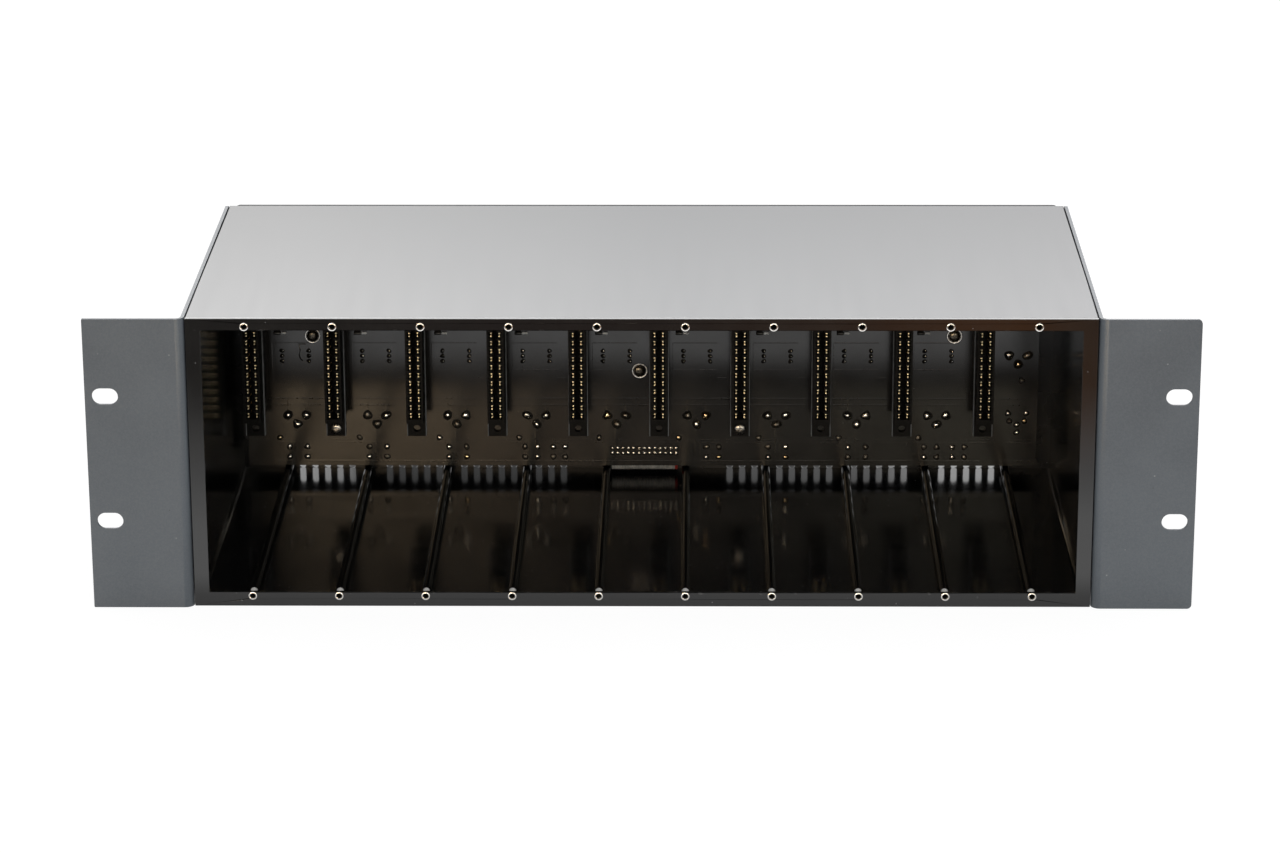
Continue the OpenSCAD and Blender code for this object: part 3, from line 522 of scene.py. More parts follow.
# The darker gold of the prongs is painted shade, and the paler gold of the tips is a painted highlight
GOLD_SHADE = metal_look("gold_shade", (0.36, 0.21, 0.06), 0.3, GOLD_GRAIN, GOLD_STAIN, 0.3, 0.4).material
NICKEL = metal_look("nickel_plate", (0.72, 0.7, 0.67), 0.2, PLATE_GRAIN, (0.45, 0.42, 0.38), 0.2).material
STEEL = metal_look("dark_steel", (0.025, 0.024, 0.023), 0.2, PLATE_GRAIN).material
BOARD_SCREW = metal_look("board_screw", (0.085, 0.078, 0.065), 0.24, PLATE_GRAIN, BOARD_STAIN, 0.3).material
SCREW = metal_look("screw_plate", (0.28, 0.27, 0.255), 0.24, PLATE_GRAIN, (0.14, 0.13, 0.12), 0.3).material
SOLDER = metal_look("solder_tin", (0.78, 0.77, 0.74), 0.2, TIN_GRAIN, (0.3, 0.28, 0.25), 0.45).material
SOLDER_WARM = metal_look("solder_warm", (0.66, 0.53, 0.34), 0.2, TIN_GRAIN, (0.3, 0.22, 0.13), 0.5).material
SOLDER_DULL = metal_look("solder_dull", (0.17, 0.16, 0.145), 0.4, TIN_GRAIN, TIN_STAIN, 0.4).material
PAD = plastic_look("pad_shadow", (0.004, 0.0034, 0.0028), 0.6, specular=0.16).material
GOLD_TIP_HIGHLIGHT = metal_look("gold_tip_highlight", (1.0, 0.84, 0.53), 0.2, GOLD_GRAIN, metallic=0.5).material
WASHER = metal_look("washer_plate", (0.75, 0.74, 0.71), 0.28, PLATE_GRAIN, (0.45, 0.43, 0.4), 0.4).material
BARREL = metal_look("barrel_plate", (0.92, 0.91, 0.88), 0.45, PLATE_GRAIN, metallic=0.25).material
# Dark metal inside the inserts' bores: painted shade
BORE_SHADE = metal_look("bore_thread_shade", (0.16, 0.155, 0.15), 0.35, PLATE_GRAIN).material
CABLE = plastic_look("cable_grey", (0.44, 0.41, 0.36), 0.4).material
CABLE_RED = plastic_look("cable_red", (0.42, 0.035, 0.025), 0.4).material


# Solids that keep their own shape


def dress(name, look, bevel=0.0):
    """Gives a solid its material and, if asked, small rounded edges."""
    node = nodes[name]
    node.data.materials.clear()
    node.data.materials.append(look)
    if not bevel:
        return
    weld = node.modifiers.new("weld", "WELD")
    weld.merge_threshold = WELD
    edge = node.modifiers.new("edges", "BEVEL")
    edge.width = bevel
    edge.segments = 2
    edge.limit_method = "ANGLE"
    edge.angle_limit = math.radians(SHARP_EDGE)
    edge.harden_normals = True


def dress_solids():
    """Materials and edges of all the solids that stay."""
    dress("front_frame", FRAME, 0.15 * MM)
    dress("top_cover", COVER, 0.15 * MM)
    dress("bottom_tray", TRAY, 0.15 * MM)
    dress("left_side_panel", SLATE, 0.2 * MM)
    dress("right_side_panel", SLATE, 0.2 * MM)
    dress("rear_panel", REAR, 0.15 * MM)
    dress("backplane_board", BOARD)
    dress("bottom_tie_rods", ROD)
    dress("top_tie_rods", ROD)
    dress("board_standoffs", NICKEL)
    dress("connector_spacers", CONNECTOR)
    dress("ribbon_connector", HEADER, 0.2 * MM)
    dress("multiway_socket", NICKEL)
    dress("jack_posts", NICKEL, 0.1 * MM)
    dress("power_inlet", SOCKET, 0.2 * MM)
    dress("output_pins", GOLD, 0.2 * MM)
    dress("input_contacts", GOLD)
    dress("side_screws", STEEL)
    for i in range(1, SLOTS + 1):
        dress(f"edge_connector_{i}", CONNECTOR, 0.1 * MM)
        dress(f"output_socket_{i}", SOCKET, 0.3 * MM)
        dress(f"input_socket_{i}", SOCKET, 0.3 * MM)


# Pieces that stand for small solids


def add_contacts():
    """Pairs of bent prongs, bowed towards the card slot, each with a rounded tip."""
    shape = Shape()
    button = [(0.26, -1.0), (0.32, -0.5), (0.37, 0.38), (0.35, 0.43)]
    button += [(0.29, 0.455), (0.16, 0.475), (0.0, 0.485)]
    centres = [middle(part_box(f"edge_connector_{i}")).x for i in range(1, SLOTS + 1)]
    thick = 0.22 * MM
    foot_depth = 0.8 * MM
    tip_ahead = 0.4 * MM
    line = [(0.12, 1.0), (0.16, 0.66), (0.3, 0.5), (0.72, 0.28)]
    line += [(0.84, 0.17), (0.8, 0.08), (0.62, 0.02), (0.42, 0.05)]
    for low, high in islands("edge_contacts"):
        x = (low.x + high.x) / 2
        centre = min(centres, key=lambda c: abs(c - x))
        inward = 1 if x < centre else -1
        outer_x = low.x if inward > 0 else high.x
        width = high.x - low.x
        depth = high.y - low.y
        path = [Vector((outer_x + inward * s * width, low.y + t * depth)) for s, t in line]
        outline = ribbon_outline(path, thick)
        height = (high.z - low.z) * 0.4
        for z0 in (low.z, high.z - height):
            jitter = dice.uniform(-0.05, 0.05) * MM
            shape.prism(outline, lambda p, end: (p.x, p.y + jitter, z0 + end * height))
            tip = Vector((x, low.y - tip_ahead + jitter, z0 + height / 2))
            shape.lathe(tip, FRONT, [(r * MM, d * MM) for r, d in button], 10, 1)
        foot_y = high.y - foot_depth
        foot = [(low.x, foot_y), (high.x, foot_y), (high.x, high.y), (low.x, high.y)]
        shape.prism(foot, lambda p, end: (p[0], p[1], low.z + end * (high.z - low.z)))
    # Prongs in painted-shade gold, tips in painted-highlight gold
    make_piece("edge_contact_prongs", shape, [GOLD_SHADE, GOLD_TIP_HIGHLIGHT], ["edge_contacts"])


def add_washers():
    """Plated rings under the board screws: a bright rounded rim, and an inner band of painted shade in dark
    steel.
    """
    shape = Shape()
    bore = 1.35 * MM
    for low, high in islands("board_washers"):
        r = (high.x - low.x) / 2
        t = high.y - low.y
        seat = Vector(((low.x + high.x) / 2, high.y, (low.z + high.z) / 2))
        rim = [(r * 0.86, 0.0), (r, 0.0), (r, t * 0.6)]
        rim += [(r * 0.97, t * 0.95), (r * 0.93, t), (r * 0.88, t * 0.9)]
        shape.lathe(seat, FRONT, rim, 40, 0, closed=True)
        # The inner band is painted shade
        band = [(bore, 0.0), (r * 0.87, 0.0), (r * 0.87, t * 0.8), (bore, t * 0.8)]
        shape.lathe(seat, FRONT, band, 40, 1, closed=True)
    make_piece("board_washer_rings", shape, [WASHER, STEEL], ["board_washers"], 40)


def ribbon_outline(path, thick):
    """The outline of a strip of even thickness along a flat path."""
    left = []
    right = []
    for k, p in enumerate(path):
        ahead = path[min(k + 1, len(path) - 1)] - path[max(k - 1, 0)]
        side = Vector((-ahead.y, ahead.x)).normalized() * thick / 2
        left.append(p + side)
        right.append(p - side)
    return left + right[::-1]


def add_solder():
    """Uneven solder blobs, some bright and some dull, each in a dark ring of painted shade."""
    shape = Shape()
    bright, warm, dull, painted_shade = range(4)
    profile = [(1.0, 0.0), (0.98, 0.18), (0.89, 0.42), (0.71, 0.67), (0.46, 0.87), (0.2, 0.97), (0.0, 1.0)]
    header_low, header_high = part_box("ribbon_connector")
    blob_size = 1.12
    pin_size = 1.3
    pad_size = 1.5
    for low, high in islands("solder_joints"):
        r = (high.x - low.x) / 2
        h = high.y - low.y
        foot = Vector(((low.x + high.x) / 2, high.y, (low.z + high.z) / 2))
        phase = dice.uniform(0, 2 * math.pi)
        lean = dice.uniform(0.06, 0.18)
        lobes = dice.choice((2, 3))
        shares = (0.66, 0.06, 0.28) if r > BIG_JOINT else (0.46, 0.06, 0.48)
        mark = dice.choices((bright, warm, dull), shares)[0]
        in_header = header_low.x < foot.x < header_high.x and header_low.z < foot.z < header_high.z
        in_pins = foot.z > PIN_GROUP_Z and r < SMALL_JOINT
        if in_header:
            mark = bright
        # At the pins the blob itself is painted shade, with a small bright solder dome beside it
        if in_pins:
            mark = painted_shade
        size = pin_size if in_pins else blob_size
        slump = dice.uniform(0.6, 1.0)
        tilt = Vector((dice.uniform(-0.25, 0.25), -1, dice.uniform(-0.2, 0.2))).normalized()

        def wobble(angle):
            return 1 + lean * math.cos(lobes * angle + phase)

        rings = [(r * a * size, h * b * slump) for a, b in profile]
        shape.lathe(foot, tilt, rings, 16, mark, wobble=wobble)
        if in_pins:
            pin = foot + Vector((r * 0.5, 0, r * 0.2))
            tip = [(r * 0.45, 0.0)] + [(r * 0.45 * a, h * (0.9 + 0.3 * b)) for a, b in profile]
            shape.lathe(pin, FRONT, tip, 12, bright)
        # The dark ring round each joint is painted shade
        pad = [(r * 0.6, 0.0), (r * pad_size, 0.0), (r * pad_size * 0.96, 0.02 * MM), (r * 0.6, 0.05 * MM)]
        shape.lathe(foot, FRONT, pad, 16, painted_shade, closed=True, wobble=wobble)
    looks = [SOLDER, SOLDER_WARM, SOLDER_DULL, PAD]
    make_piece("solder_blobs", shape, looks, ["solder_joints"], 50)


def cross_head(radius, height, shank, length):
    """Points and faces of one pan-head screw with a cross recess; its head rests on the plane y 0."""
    body = Shape()
    curve = [(0.94, 0.0), (1.0, 0.12), (0.99, 0.45), (0.9, 0.72), (0.7, 0.9), (0.42, 0.98), (0.0, 1.0)]
    dome = [(radius * a, height * b) for a, b in curve]
    thread = []
    turns = max(int(length / THREAD_PITCH), 1)
    for k in range(turns):
        thread.append((shank * 0.86, -length + k * length / turns))
        thread.append((shank, -length + (k + 0.5) * length / turns))
    rings = [(0.0, -length)] + thread + [(shank * 0.9, 0.0)] + dome
    body.lathe(Vector((0, 0, 0)), FRONT, rings, 28)
    cutter = Shape()
    arm = radius * 0.52
    half = radius * 0.13
    deep = -height * 0.42
    above = -height * 1.2
    taper = 0.72
    for a, b in ((arm, half), (half, arm)):
        outline = [(-a, -b), (a, -b), (a, b), (-a, b)]
        points = [(x * taper, deep, z * taper) for x, z in outline]
        points += [(x, above, z) for x, z in outline]
        cutter.add(points, BOX_FACES)
    return cut_away(body, cutter)


def cut_away(body, cutter):
    """Points and faces of a shape with the other shape cut out of it."""
    objects = []
    for shape in (body, cutter):
        thing = bpy.data.objects.new("cut_work", mesh_of("cut_work", shape))
        scene.collection.objects.link(thing)
        objects.append(thing)
    cut = objects[0].modifiers.new("cut", "BOOLEAN")
    cut.object = objects[1]
    cut.operation = "DIFFERENCE"
    cut.solver = "EXACT"
    cut.use_self = True
    bpy.context.view_layer.update()
    done = objects[0].evaluated_get(bpy.context.evaluated_depsgraph_get()).to_mesh()
    points = [v.co.copy() for v in done.vertices]
    faces = [tuple(p.vertices) for p in done.polygons]
    for thing in objects:
        mesh = thing.data
        bpy.data.objects.remove(thing)
        bpy.data.meshes.remove(mesh)
    return points, faces


def add_screws(name, node, look, towards):
    """Pan-head screws in the places of a node's solids; towards is 1 if the heads look to the back."""
    shape = Shape()
    template = None
    for low, high in islands(node):
        x = (low.x + high.x) / 2
        z = (low.z + high.z) / 2
        length = high.y - low.y - SCREW_HEAD
        if template is None:
            template = cross_head((high.x - low.x) / 2, SCREW_HEAD, SCREW_SHANK, length)
        seat = high.y - SCREW_HEAD if towards > 0 else low.y + SCREW_HEAD
        turn = Matrix.Rotation(dice.uniform(0, math.pi), 4, "Y")
        points = []
        for p in template[0]:
            q = turn @ p
            points.append(Vector((x + q.x, seat - q.y * towards, z + q.z)))
        shape.add(points, template[1])
    make_piece(name, shape, [look], [node], 30)


def add_inserts(name, node):
    """Threaded inserts: a rounded rivet ring on the frame and a threaded bore."""
    shape = Shape()
    neck = 1.42 * MM
    barrel = 1.58 * MM
    bore = 1.15 * MM
    ring_h = 0.4 * MM
    lip = 2.0 * MM
    pitch = 0.6 * MM
    sides = 32
    for low, high in islands(node):
        centre = Vector(((low.x + high.x) / 2, low.y, (low.z + high.z) / 2))
        r = (high.x - low.x) / 2
        length = high.y - low.y
        outer = [(bore + 0.24 * MM, 0.0), (r * 0.88, 0.04 * MM), (r * 0.97, 0.16 * MM), (r * 0.98, ring_h)]
        outer += [(neck, ring_h), (neck, ring_h + lip), (barrel, ring_h + lip), (barrel, length)]
        inner = [(bore, length)]
        turns = int((length - pitch) / pitch)
        for k in range(turns, 0, -1):
            inner.append((bore, k * pitch + 0.1 * MM))
            inner.append((bore + 0.12 * MM, k * pitch - 0.2 * MM))
        inner.append((bore + 0.06 * MM, 0.25 * MM))
        start = len(shape.faces)
        shape.lathe(centre, BACK, outer + inner, sides, closed=True)
        first = start + sides * (len(outer) - 1)
        last = start + sides * (len(outer) + len(inner) - 1)
        # The bore's faces take dark metal: painted shade in the hole
        shape.marks[first:last] = [1] * (last - first)
        behind = start + sides * (len(outer) - 2)
        shape.marks[behind:first] = [2] * (first - behind)
    make_piece(name, shape, [NICKEL, BORE_SHADE, BARREL], [node], 40)


def ribbon_path(low, high, thick):
    """Places (y, z, angle) along the cable, from the header round the bend to the socket."""
    radius = (high.y - low.y - thick) / 2
    bend_z = low.z + thick / 2 + radius
    front_y = low.y + thick / 2
    back_y = high.y - thick / 2
    path = [(front_y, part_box("ribbon_connector")[0].z, 0.0)]
    steps = 24
    for k in range(steps + 1):
        angle = math.pi * k / steps
        y = (front_y + back_y) / 2 - radius * math.cos(angle)
        path.append((y, bend_z - radius * math.sin(angle), angle))
    path.append((back_y, high.z, math.pi))
    return path


def add_ribbon():
    """Ribbed flat cable that loops under the board, with one red edge wire."""
    low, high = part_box("ribbon_cable")
    wires = 25
    bumps = 6
    thick = 0.9 * MM
    pitch = (high.x - low.x) / wires
    rows = []
    for y, z, angle in ribbon_path(low, high, thick):
        across = Vector((0, math.cos(angle), math.sin(angle)))
        row = []
        for side in (1, -1):
            for w in range(wires) if side > 0 else range(wires - 1, -1, -1):
                for b in range(bumps):
                    t = b / bumps if side > 0 else 1 - b / bumps
                    swell = 0.3 + 0.7 * math.sin(math.pi * t)
                    x = low.x + (w + t) * pitch
                    row.append(Vector((x, y, z)) + across * (side * swell * thick / 2))
        rows.append(row)
    count = len(rows[0])
    points = [p for row in rows for p in row]
    red = []
    plain = []
    for k in range(len(rows) - 1):
        for c in range(count):
            n = (c + 1) % count
            face = (k * count + c, k * count + n, (k + 1) * count + n, (k + 1) * count + c)
            wire = c // bumps if c < count // 2 else wires - 1 - (c - count // 2) // bumps
            (red if wire == wires - 1 else plain).append(face)
    plain.append(tuple(range(count)))
    plain.append(tuple(range(len(points) - 1, len(points) - count - 1, -1)))
    shape = Shape()
    shape.add(points, plain + red)
    shape.marks[len(plain):] = [1] * len(red)
    make_piece("ribbon_loop", shape, [CABLE, CABLE_RED], ["ribbon_cable"], 60)


def add_board_parts():
    """Small parts by the top of the board: a dark body beside a pale band, with a short lead."""
    shape = Shape()
    for low, high in islands("board_parts"):
        span = high.x - low.x
        centre_z = (low.z + high.z) / 2
        radius = (high.z - low.z) / 2
        axis = Vector((1, 0, 0))
        start = Vector((low.x, high.y - radius * 0.62, centre_z))
        body = [(0.0, 0.0), (radius * 0.5, 0.0), (radius * 0.62, span * 0.04), (radius * 0.62, span * 0.5)]
        body += [(radius * 0.5, span * 0.54), (0.0, span * 0.54)]
        shape.lathe(start, axis, body, 16, 0)
        band = [(0.0, span * 0.6), (radius * 0.4, span * 0.6), (radius * 0.46, span * 0.64)]
        band += [(radius * 0.46, span * 0.96), (radius * 0.4, span), (0.0, span)]
        shape.lathe(start + BACK * radius * 0.14, axis, band, 16, 1)
        lead = [Vector((low.x + span * k, start.y, centre_z)) for k in (0.5, 0.56, 0.62)]
        shape.tube(lead, 0.25 * MM, 8, 2)
    looks = [PART_DARK, PART_PALE, SOLDER]
    make_piece("board_small_parts", shape, looks, ["board_parts"])


def add_traces():
    """Raised lines of the copper under the mask on the face of the board, in mm but for x."""
    low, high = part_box("backplane_board")
    rise = 0.012 * MM
    margin = 2 * MM
    beside = 6.5 * MM
    turn = 10 * MM
    thin = 0.5
    wide = 0.8
    signal_z = 19.6
    minus_z = 38.4
    plus_z = 41.6
    buses = [(signal_z, thin), (21.0, thin), (minus_z, 0.7), (plus_z, 0.7), (10.3, 0.6)]
    ring_low = 56.0
    ring_high = 69.4
    branch_z = 52.0
    uprights = [(-0.6, 11.0, 28.0, wide), (1.6, 11.0, signal_z, thin)]
    uprights += [(-4.4, 33.2, plus_z, wide), (4.4, 33.2, minus_z, wide)]
    uprights += [(6.35, 62.8, ring_high, thin), (-6.35, ring_low, 62.8, thin)]
    shape = Shape()

    def line(x0, z0, x1, z1, width):
        shape.strip(x0, z0 * MM, x1, z1 * MM, low.y, rise, width * MM)

    for z, width in buses:
        line(low.x + margin, z, high.x - margin, z, width)
    for i in range(1, SLOTS):
        left = middle(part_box(f"edge_connector_{i}")).x + beside
        right = middle(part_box(f"edge_connector_{i + 1}")).x - beside
        socket = middle(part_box(f"output_socket_{i}")).x
        for z in (ring_low, ring_high):
            line(left, z, socket + turn, z, thin)
        line(left, ring_low, left, ring_high, thin)
        line(socket + turn, branch_z, right, branch_z, thin)
        for dx, z0, z1, width in uprights:
            line(socket + dx * MM, z0, socket + dx * MM, z1, width)
    make_piece("board_traces", shape, [TRACE])


def add_jumper():
    """A thin wire by the first module's link pads."""
    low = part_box("backplane_board")[0]
    socket = middle(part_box("output_socket_1")).x
    y = low.y - 0.4 * MM
    knots = [(2.2, 68.4, 0.35), (1.9, 67.2, 0.0), (2.4, 65.6, -0.25)]
    knots += [(1.8, 63.6, -0.3), (2.2, 61.6, -0.2), (3.4, 60.4, 0.3)]
    path = [Vector((socket + a * MM, y + c * MM, b * MM)) for a, b, c in knots]
    shape = Shape()
    shape.tube(path, 0.22 * MM, 8)
    shape.strip(socket + 1.2 * MM, 68.6 * MM, socket + 5.2 * MM, 68.6 * MM, low.y, 0.3 * MM, 0.5 * MM)
    make_piece("jumper_wire", shape, [PART_DARK])


def add_multiway_face():
    """Black insert of the multi-way socket, with a raised rim and a gold contact in each hole."""
    low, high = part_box("multiway_socket")
    face_y = high.y - 1.0 * MM
    centre = Vector(((low.x + high.x) / 2, face_y, (low.z + high.z) / 2))
    half_w = 18.7 * MM
    half_h = 3.3 * MM
    taper = 1.3 * MM
    outline = [(-half_w, half_h), (half_w, half_h), (half_w - taper, -half_h), (taper - half_w, -half_h)]
    shape = Shape()
    thick = 0.3 * MM
    shape.prism(outline, lambda p, end: (centre.x + p[0], face_y + end * thick, centre.z + p[1]))
    columns = 13
    pitch = 2.76 * MM
    row_z = 1.42 * MM
    rim = [(0.9, -0.05), (0.88, 0.15), (0.62, 0.15), (0.6, -0.05)]
    contact = [(0.42, -0.02), (0.4, 0.05), (0.22, 0.05), (0.2, -0.02)]
    for row in (0, 1):
        for k in range(columns - row):
            x = centre.x + (k + (row - columns + 1) / 2) * pitch
            spot = Vector((x, face_y + thick, centre.z + (1 - 2 * row) * row_z))
            shape.lathe(spot, BACK, [(r * MM, d * MM) for r, d in rim], 14, 0, closed=True)
            shape.lathe(spot, BACK, [(r * MM, d * MM) for r, d in contact], 10, 1, closed=True)
    make_piece("multiway_insert", shape, [SOCKET, GOLD])


# Stage


def camera():
    """The camera at the photograph's place and angle."""
    pitch = math.radians(CAMERA_PITCH)
    yaw = math.radians(CAMERA_YAW)
    roll = math.radians(CAMERA_ROLL)
    flat = Vector((math.cos(yaw), -math.sin(yaw), 0))
    ahead = Vector((math.sin(yaw), math.cos(yaw), 0))
    up = Vector((0, 0, 1))
    forward = ahead * math.cos(pitch) - up * math.sin(pitch)
    over = ahead * math.sin(pitch) + up * math.cos(pitch)
    right = flat * math.cos(roll) - over * math.sin(roll)
    top = flat * math.sin(roll) + over * math.cos(roll)
    data = bpy.data.cameras.new("camera")
    data.sensor_fit = "HORIZONTAL"
    data.sensor_width = CAMERA_SENSOR
    data.lens = CAMERA_LENS
    data.clip_end = 100
    item = bpy.data.objects.new("camera", data)
    scene.collection.objects.link(item)
    turn = Matrix((right, top, -forward)).transposed().to_4x4()
    item.matrix_world = Matrix.Translation(CAMERA_PLACE) @ turn
    scene.camera = item


def softbox(name, place, width, height, radiance, mirrored):
    """A rectangular lamp that the camera doesn't see; radiance is what a mirror of it would show."""
    data = bpy.data.lights.new(name, "AREA")
    data.shape = "RECTANGLE"
    data.size = width
    data.size_y = height
    data.energy = radiance * math.pi * width * height
    item = bpy.data.objects.new(name, data)
    scene.collection.objects.link(item)
    item.location = place
    item.rotation_euler = (LAMP_TARGET - Vector(place)).to_track_quat("-Z", "Y").to_euler()
    item.visible_camera = False
    item.visible_glossy = mirrored


def lamps():
    """A wide lamp in front and a large one above."""
    softbox("key_lamp", (0.2, -2.4, 0.95), width=1.5, height=0.5, radiance=KEY, mirrored=False)
    softbox("high_lamp", (0.3, -1.6, 2.4), width=1.4, height=1.0, radiance=HIGH, mirrored=True)


class Stage:
    """Short-cuts for the nodes of a stage material, in world metres."""

    def __init__(self, name):
        self.material = bpy.data.materials.new(name)
        self.material.use_nodes = True
        self.tree = self.material.node_tree
        self.tree.nodes.clear()
        where = self.node("ShaderNodeTexCoord")
        self.apart = self.node("ShaderNodeSeparateXYZ")
        self.tree.links.new(where.outputs["Object"], self.apart.inputs[0])

    def node(self, kind, **values):
        made = self.tree.nodes.new(kind)
        for key, value in values.items():
            made.inputs[key.replace("_", " ")].default_value = value
        return made

    def ramp(self, axis, stops):
        """A colour that changes along an axis; stops are (place, colour) or (place, grey)."""
        low = stops[0][0]
        high = stops[-1][0]
        span = self.node("ShaderNodeMapRange", From_Min=low, From_Max=high)
        self.tree.links.new(self.apart.outputs[axis], span.inputs["Value"])
        made = self.node("ShaderNodeValToRGB")
        band = made.color_ramp
        while len(band.elements) < len(stops):
            band.elements.new(0.5)
        for element, (place, colour) in zip(band.elements, stops):
            element.position = (place - low) / (high - low)
            element.color = (*(colour if isinstance(colour, tuple) else grey(colour)), 1)
        self.tree.links.new(span.outputs["Result"], made.inputs["Fac"])
        return made.outputs["Color"]

    def blend(self, mode, a, b):
        made = self.tree.nodes.new("ShaderNodeMix")
        made.data_type = "RGBA"
        made.blend_type = mode
        made.inputs[0].default_value = 1.0
        self.tree.links.new(a, made.inputs[6])
        self.tree.links.new(b, made.inputs[7])
        return made.outputs[2]

    def glow(self, colour, strength):
        made = self.node("ShaderNodeEmission", Strength=strength)
        self.tree.links.new(colour, made.inputs["Color"])
        return made.outputs[0]

    def matt(self, value):
        return self.node("ShaderNodeBsdfDiffuse", Color=(*grey(value), 1)).outputs[0]

    def join(self, kind, *sources):
        """A shader node of a kind with its inputs linked in order."""
        made = self.node(kind)
        for k, source in enumerate(sources):
            self.tree.links.new(source, made.inputs[k])
        return made.outputs[0]

    def show(self, shader):
        out = self.node("ShaderNodeOutputMaterial")
        self.tree.links.new(shader, out.inputs["Surface"])


def sheet(name, corners, look):
    """One flat four-sided piece of the stage."""
    mesh = bpy.data.meshes.new(name)
    mesh.from_pydata(corners, [], [(0, 1, 2, 3)])
    mesh.materials.append(look.material)
    item = bpy.data.objects.new(name, mesh)
    scene.collection.objects.link(item)
    return item


def card(name, look, half, y, heights, lights):
    """An upright stage card that only mirrors see, or that also lights the part."""
    low, high = heights
    item = sheet(name, [(-half, y, low), (half, y, low), (half, y, high), (-half, y, high)], look)
    item.visible_camera = False
    item.visible_diffuse = lights
    item.visible_shadow = False
    item.visible_transmission = False


def back_card():
    """Bright sheet behind the part, brighter higher up and to the left, that the cover mirrors."""
    look = Stage("back_card")
    rise = look.ramp("Z", [(0.3, 0.28), (0.62, 0.44), (0.72, 0.655), (0.855, 1.0)])
    across = look.ramp("X", [(-0.36, 1.0), (0.0, (0.86, 0.865, 0.875)), (0.5, (0.91, 0.91, 0.92))])
    look.show(look.glow(look.blend("MULTIPLY", rise, across), BACK_GLOW))
    card("back_card", look, half=1.8, y=2.0, heights=(0.3, 1.4), lights=True)


def low_card():
    """Low card close behind the part that dims what shows through the vents."""
    look = Stage("low_card")
    stops = [(-0.19, 0.75), (-0.155, 0.45), (-0.146, 0.09), (-0.04, 0.085), (0.03, 0.17)]
    stops += [(0.09, 0.2), (0.115, 0.22), (0.133, 0.45), (0.15, 0.7), (0.19, 0.75)]
    look.show(look.glow(look.ramp("X", stops), LOW_GLOW))
    card("low_card", look, half=0.24, y=0.2, heights=(0.0, 0.085), lights=False)


def front_card():
    """The room in front of the part: warm to the left, dark behind the camera, paler to the right."""
    look = Stage("front_card")
    stops = [(-0.9, (1.0, 0.75, 0.46)), (-0.4, (1.0, 0.75, 0.46)), (-0.28, (0.86, 0.62, 0.37))]
    stops += [(-0.2, (0.58, 0.4, 0.24)), (-0.15, (0.26, 0.185, 0.115)), (-0.08, (0.1, 0.08, 0.06))]
    stops += [(0.0, (0.03, 0.027, 0.021)), (0.12, (0.03, 0.027, 0.021)), (0.23, (0.17, 0.148, 0.1))]
    stops += [(0.33, (0.34, 0.3, 0.21)), (0.9, (0.36, 0.32, 0.23))]
    window = look.ramp("Z", [(0.2, 0.3), (0.62, 0.9), (0.66, 1.0), (0.73, 1.0), (0.765, 0.0)])
    wall = look.ramp("Z", [(0.2, 0.02), (0.56, 0.04), (0.61, 0.14), (0.69, 0.14), (0.72, 0.0)])
    seen = look.blend("ADD", look.blend("MULTIPLY", look.ramp("X", stops), window), wall)
    look.show(look.glow(seen, FRONT_GLOW))
    card("front_card", look, half=1.6, y=-2.3, heights=(0.2, 1.3), lights=False)


def front_strip():
    """A narrow bright strip low in front, for the glints on solder, contacts and screws."""
    look = Stage("front_strip")
    stops = [(-0.8, (1.0, 0.93, 0.84)), (0.0, (1.0, 0.97, 0.92)), (0.8, (1.0, 0.97, 0.92))]
    look.show(look.glow(look.ramp("X", stops), STRIP_GLOW))
    card("front_strip", look, half=0.8, y=-2.28, heights=(0.15, 0.26), lights=False)


def world():
    """White behind the part for the camera, a plain even light for the rest."""
    item = bpy.data.worlds.new("world")
    item.use_nodes = True
    tree = item.node_tree
    tree.nodes.clear()
    path = tree.nodes.new("ShaderNodeLightPath")
    seen = tree.nodes.new("ShaderNodeMath")
    seen.operation = "MAXIMUM"
    tree.links.new(path.outputs["Is Camera Ray"], seen.inputs[0])
    tree.links.new(path.outputs["Is Transmission Ray"], seen.inputs[1])
    white = tree.nodes.new("ShaderNodeBackground")
    white.inputs["Color"].default_value = (1, 1, 1, 1)
    even = tree.nodes.new("ShaderNodeBackground")
    even.inputs["Color"].default_value = (1, 1, 1, 1)
    even.inputs["Strength"].default_value = AMBIENT
    mix = tree.nodes.new("ShaderNodeMixShader")
    tree.links.new(seen.outputs["Value"], mix.inputs[0])
    tree.links.new(even.outputs["Background"], mix.inputs[1])
    tree.links.new(white.outputs["Background"], mix.inputs[2])
    out = tree.nodes.new("ShaderNodeOutputWorld")
    tree.links.new(mix.outputs["Shader"], out.inputs["Surface"])
    scene.world = item


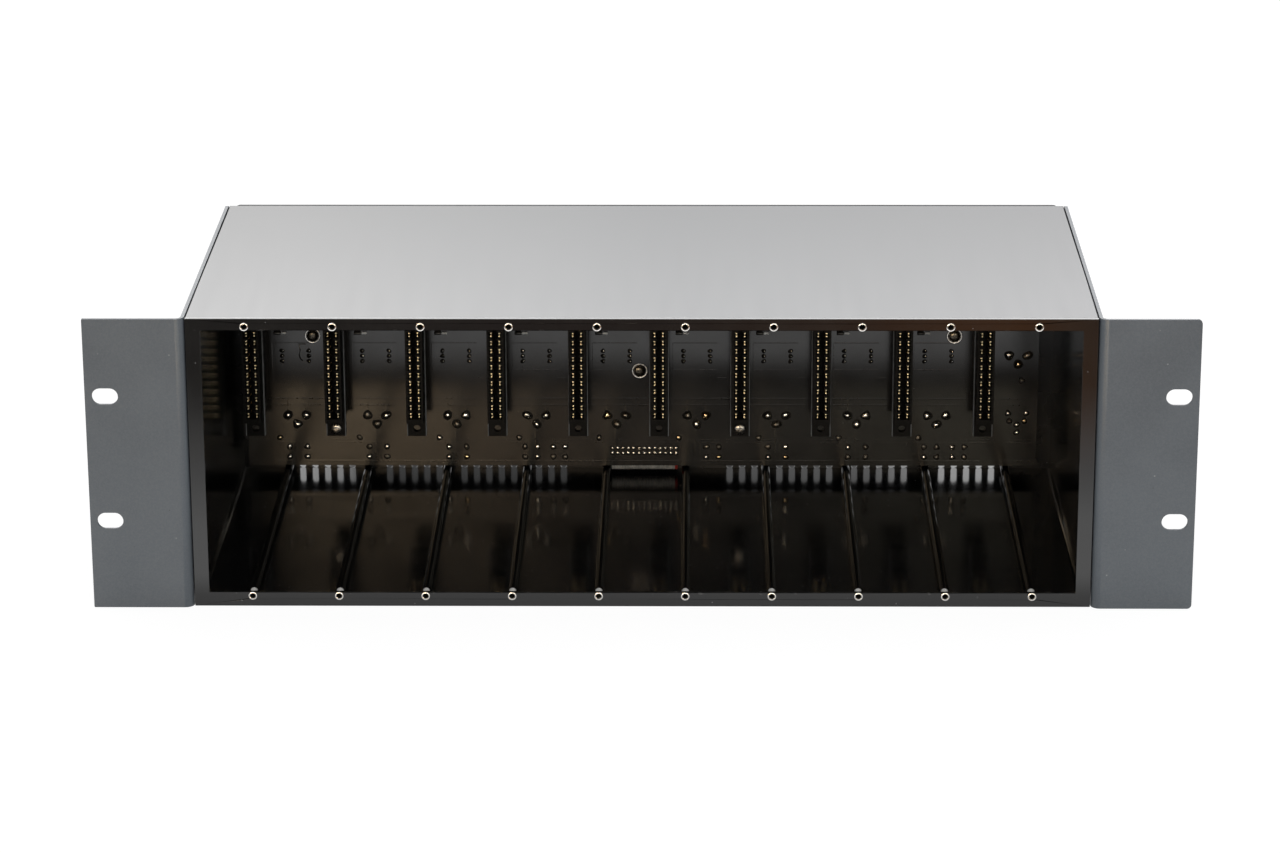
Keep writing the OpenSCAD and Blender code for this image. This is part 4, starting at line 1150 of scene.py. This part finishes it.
def floor():
    """Pale floor: white to the camera with a soft shadow, and in mirrors darker in front of the part."""
    look = Stage("floor")
    path = look.node("ShaderNodeLightPath").outputs
    # Shade close behind the rear panel, which shows through the vents
    along = [(-0.2, 1.0), (-0.19, 0.36), (-0.15, 0.26), (-0.14, 0.05), (0.0, 0.04)]
    along += [(0.1, 0.08), (0.14, 0.36), (0.19, 0.42), (0.2, 1.0)]
    behind = look.ramp("Y", [(0.09, 0.0), (0.105, 0.0), (0.2, 1.0)])
    front = look.ramp("Y", [(-0.02, 1.0), (0.0, 0.0)])
    kept = look.blend("LIGHTEN", look.blend("LIGHTEN", look.ramp("X", along), behind), front)
    white = look.node("ShaderNodeEmission", Color=(1, 1, 1, 1), Strength=FLOOR_WHITE).outputs[0]
    shown = look.join("ShaderNodeAddShader", white, look.matt(FLOOR_LIT))
    shaded = look.join("ShaderNodeMixShader", kept, look.matt(0.0), shown)
    plain = look.join("ShaderNodeMixShader", path["Is Camera Ray"], look.matt(FLOOR_PALE), shaded)
    # What the gloss paint mirrors: pale near the part, the room's colours further off
    near = [(-0.4, 0.0), (-0.38, 0.06), (-0.35, 0.33), (-0.31, 0.53), (-0.28, 0.62)]
    near += [(-0.21, 1.0), (-0.135, 1.0), (-0.11, 0.56), (-0.095, 0.5), (0.3, 0.66)]
    room = [(-0.3, (0.1, 0.096, 0.088)), (0.0, (0.14, 0.088, 0.07)), (0.1, (0.24, 0.13, 0.078))]
    room += [(0.19, (0.52, 0.19, 0.05)), (0.235, (0.24, 0.132, 0.072)), (0.4, (0.2, 0.12, 0.072))]
    away = look.ramp("Y", [(-0.39, 1.0), (-0.34, 0.5), (-0.28, 0.0)])
    far = look.blend("MULTIPLY", look.ramp("X", room), away)
    mirror = look.glow(look.blend("ADD", look.ramp("Y", near), far), FLOOR_MIRROR)
    look.show(look.join("ShaderNodeMixShader", path["Is Glossy Ray"], plain, mirror))
    size = 12.0
    z = cad_box[0].z
    sheet("floor", [(-size, -size, z), (size, -size, z), (size, size, z), (-size, size, z)], look)


camera()
lamps()
world()
floor()
back_card()
low_card()
front_card()
front_strip()
scene.view_settings.view_transform = "Standard"

dress_solids()
add_contacts()
add_solder()
add_washers()
add_screws("rod_screw_heads", "rod_screws", NICKEL, 1)
add_screws("socket_screw_heads", "socket_screws", NICKEL, 1)
add_screws("board_screw_heads", "board_screws", BOARD_SCREW, -1)
add_screws("connector_screw_heads", "connector_screws", SCREW, -1)
add_inserts("bottom_insert_rings", "bottom_inserts")
add_inserts("top_insert_rings", "top_inserts")
add_ribbon()
add_board_parts()
add_traces()
add_jumper()
add_multiway_face()
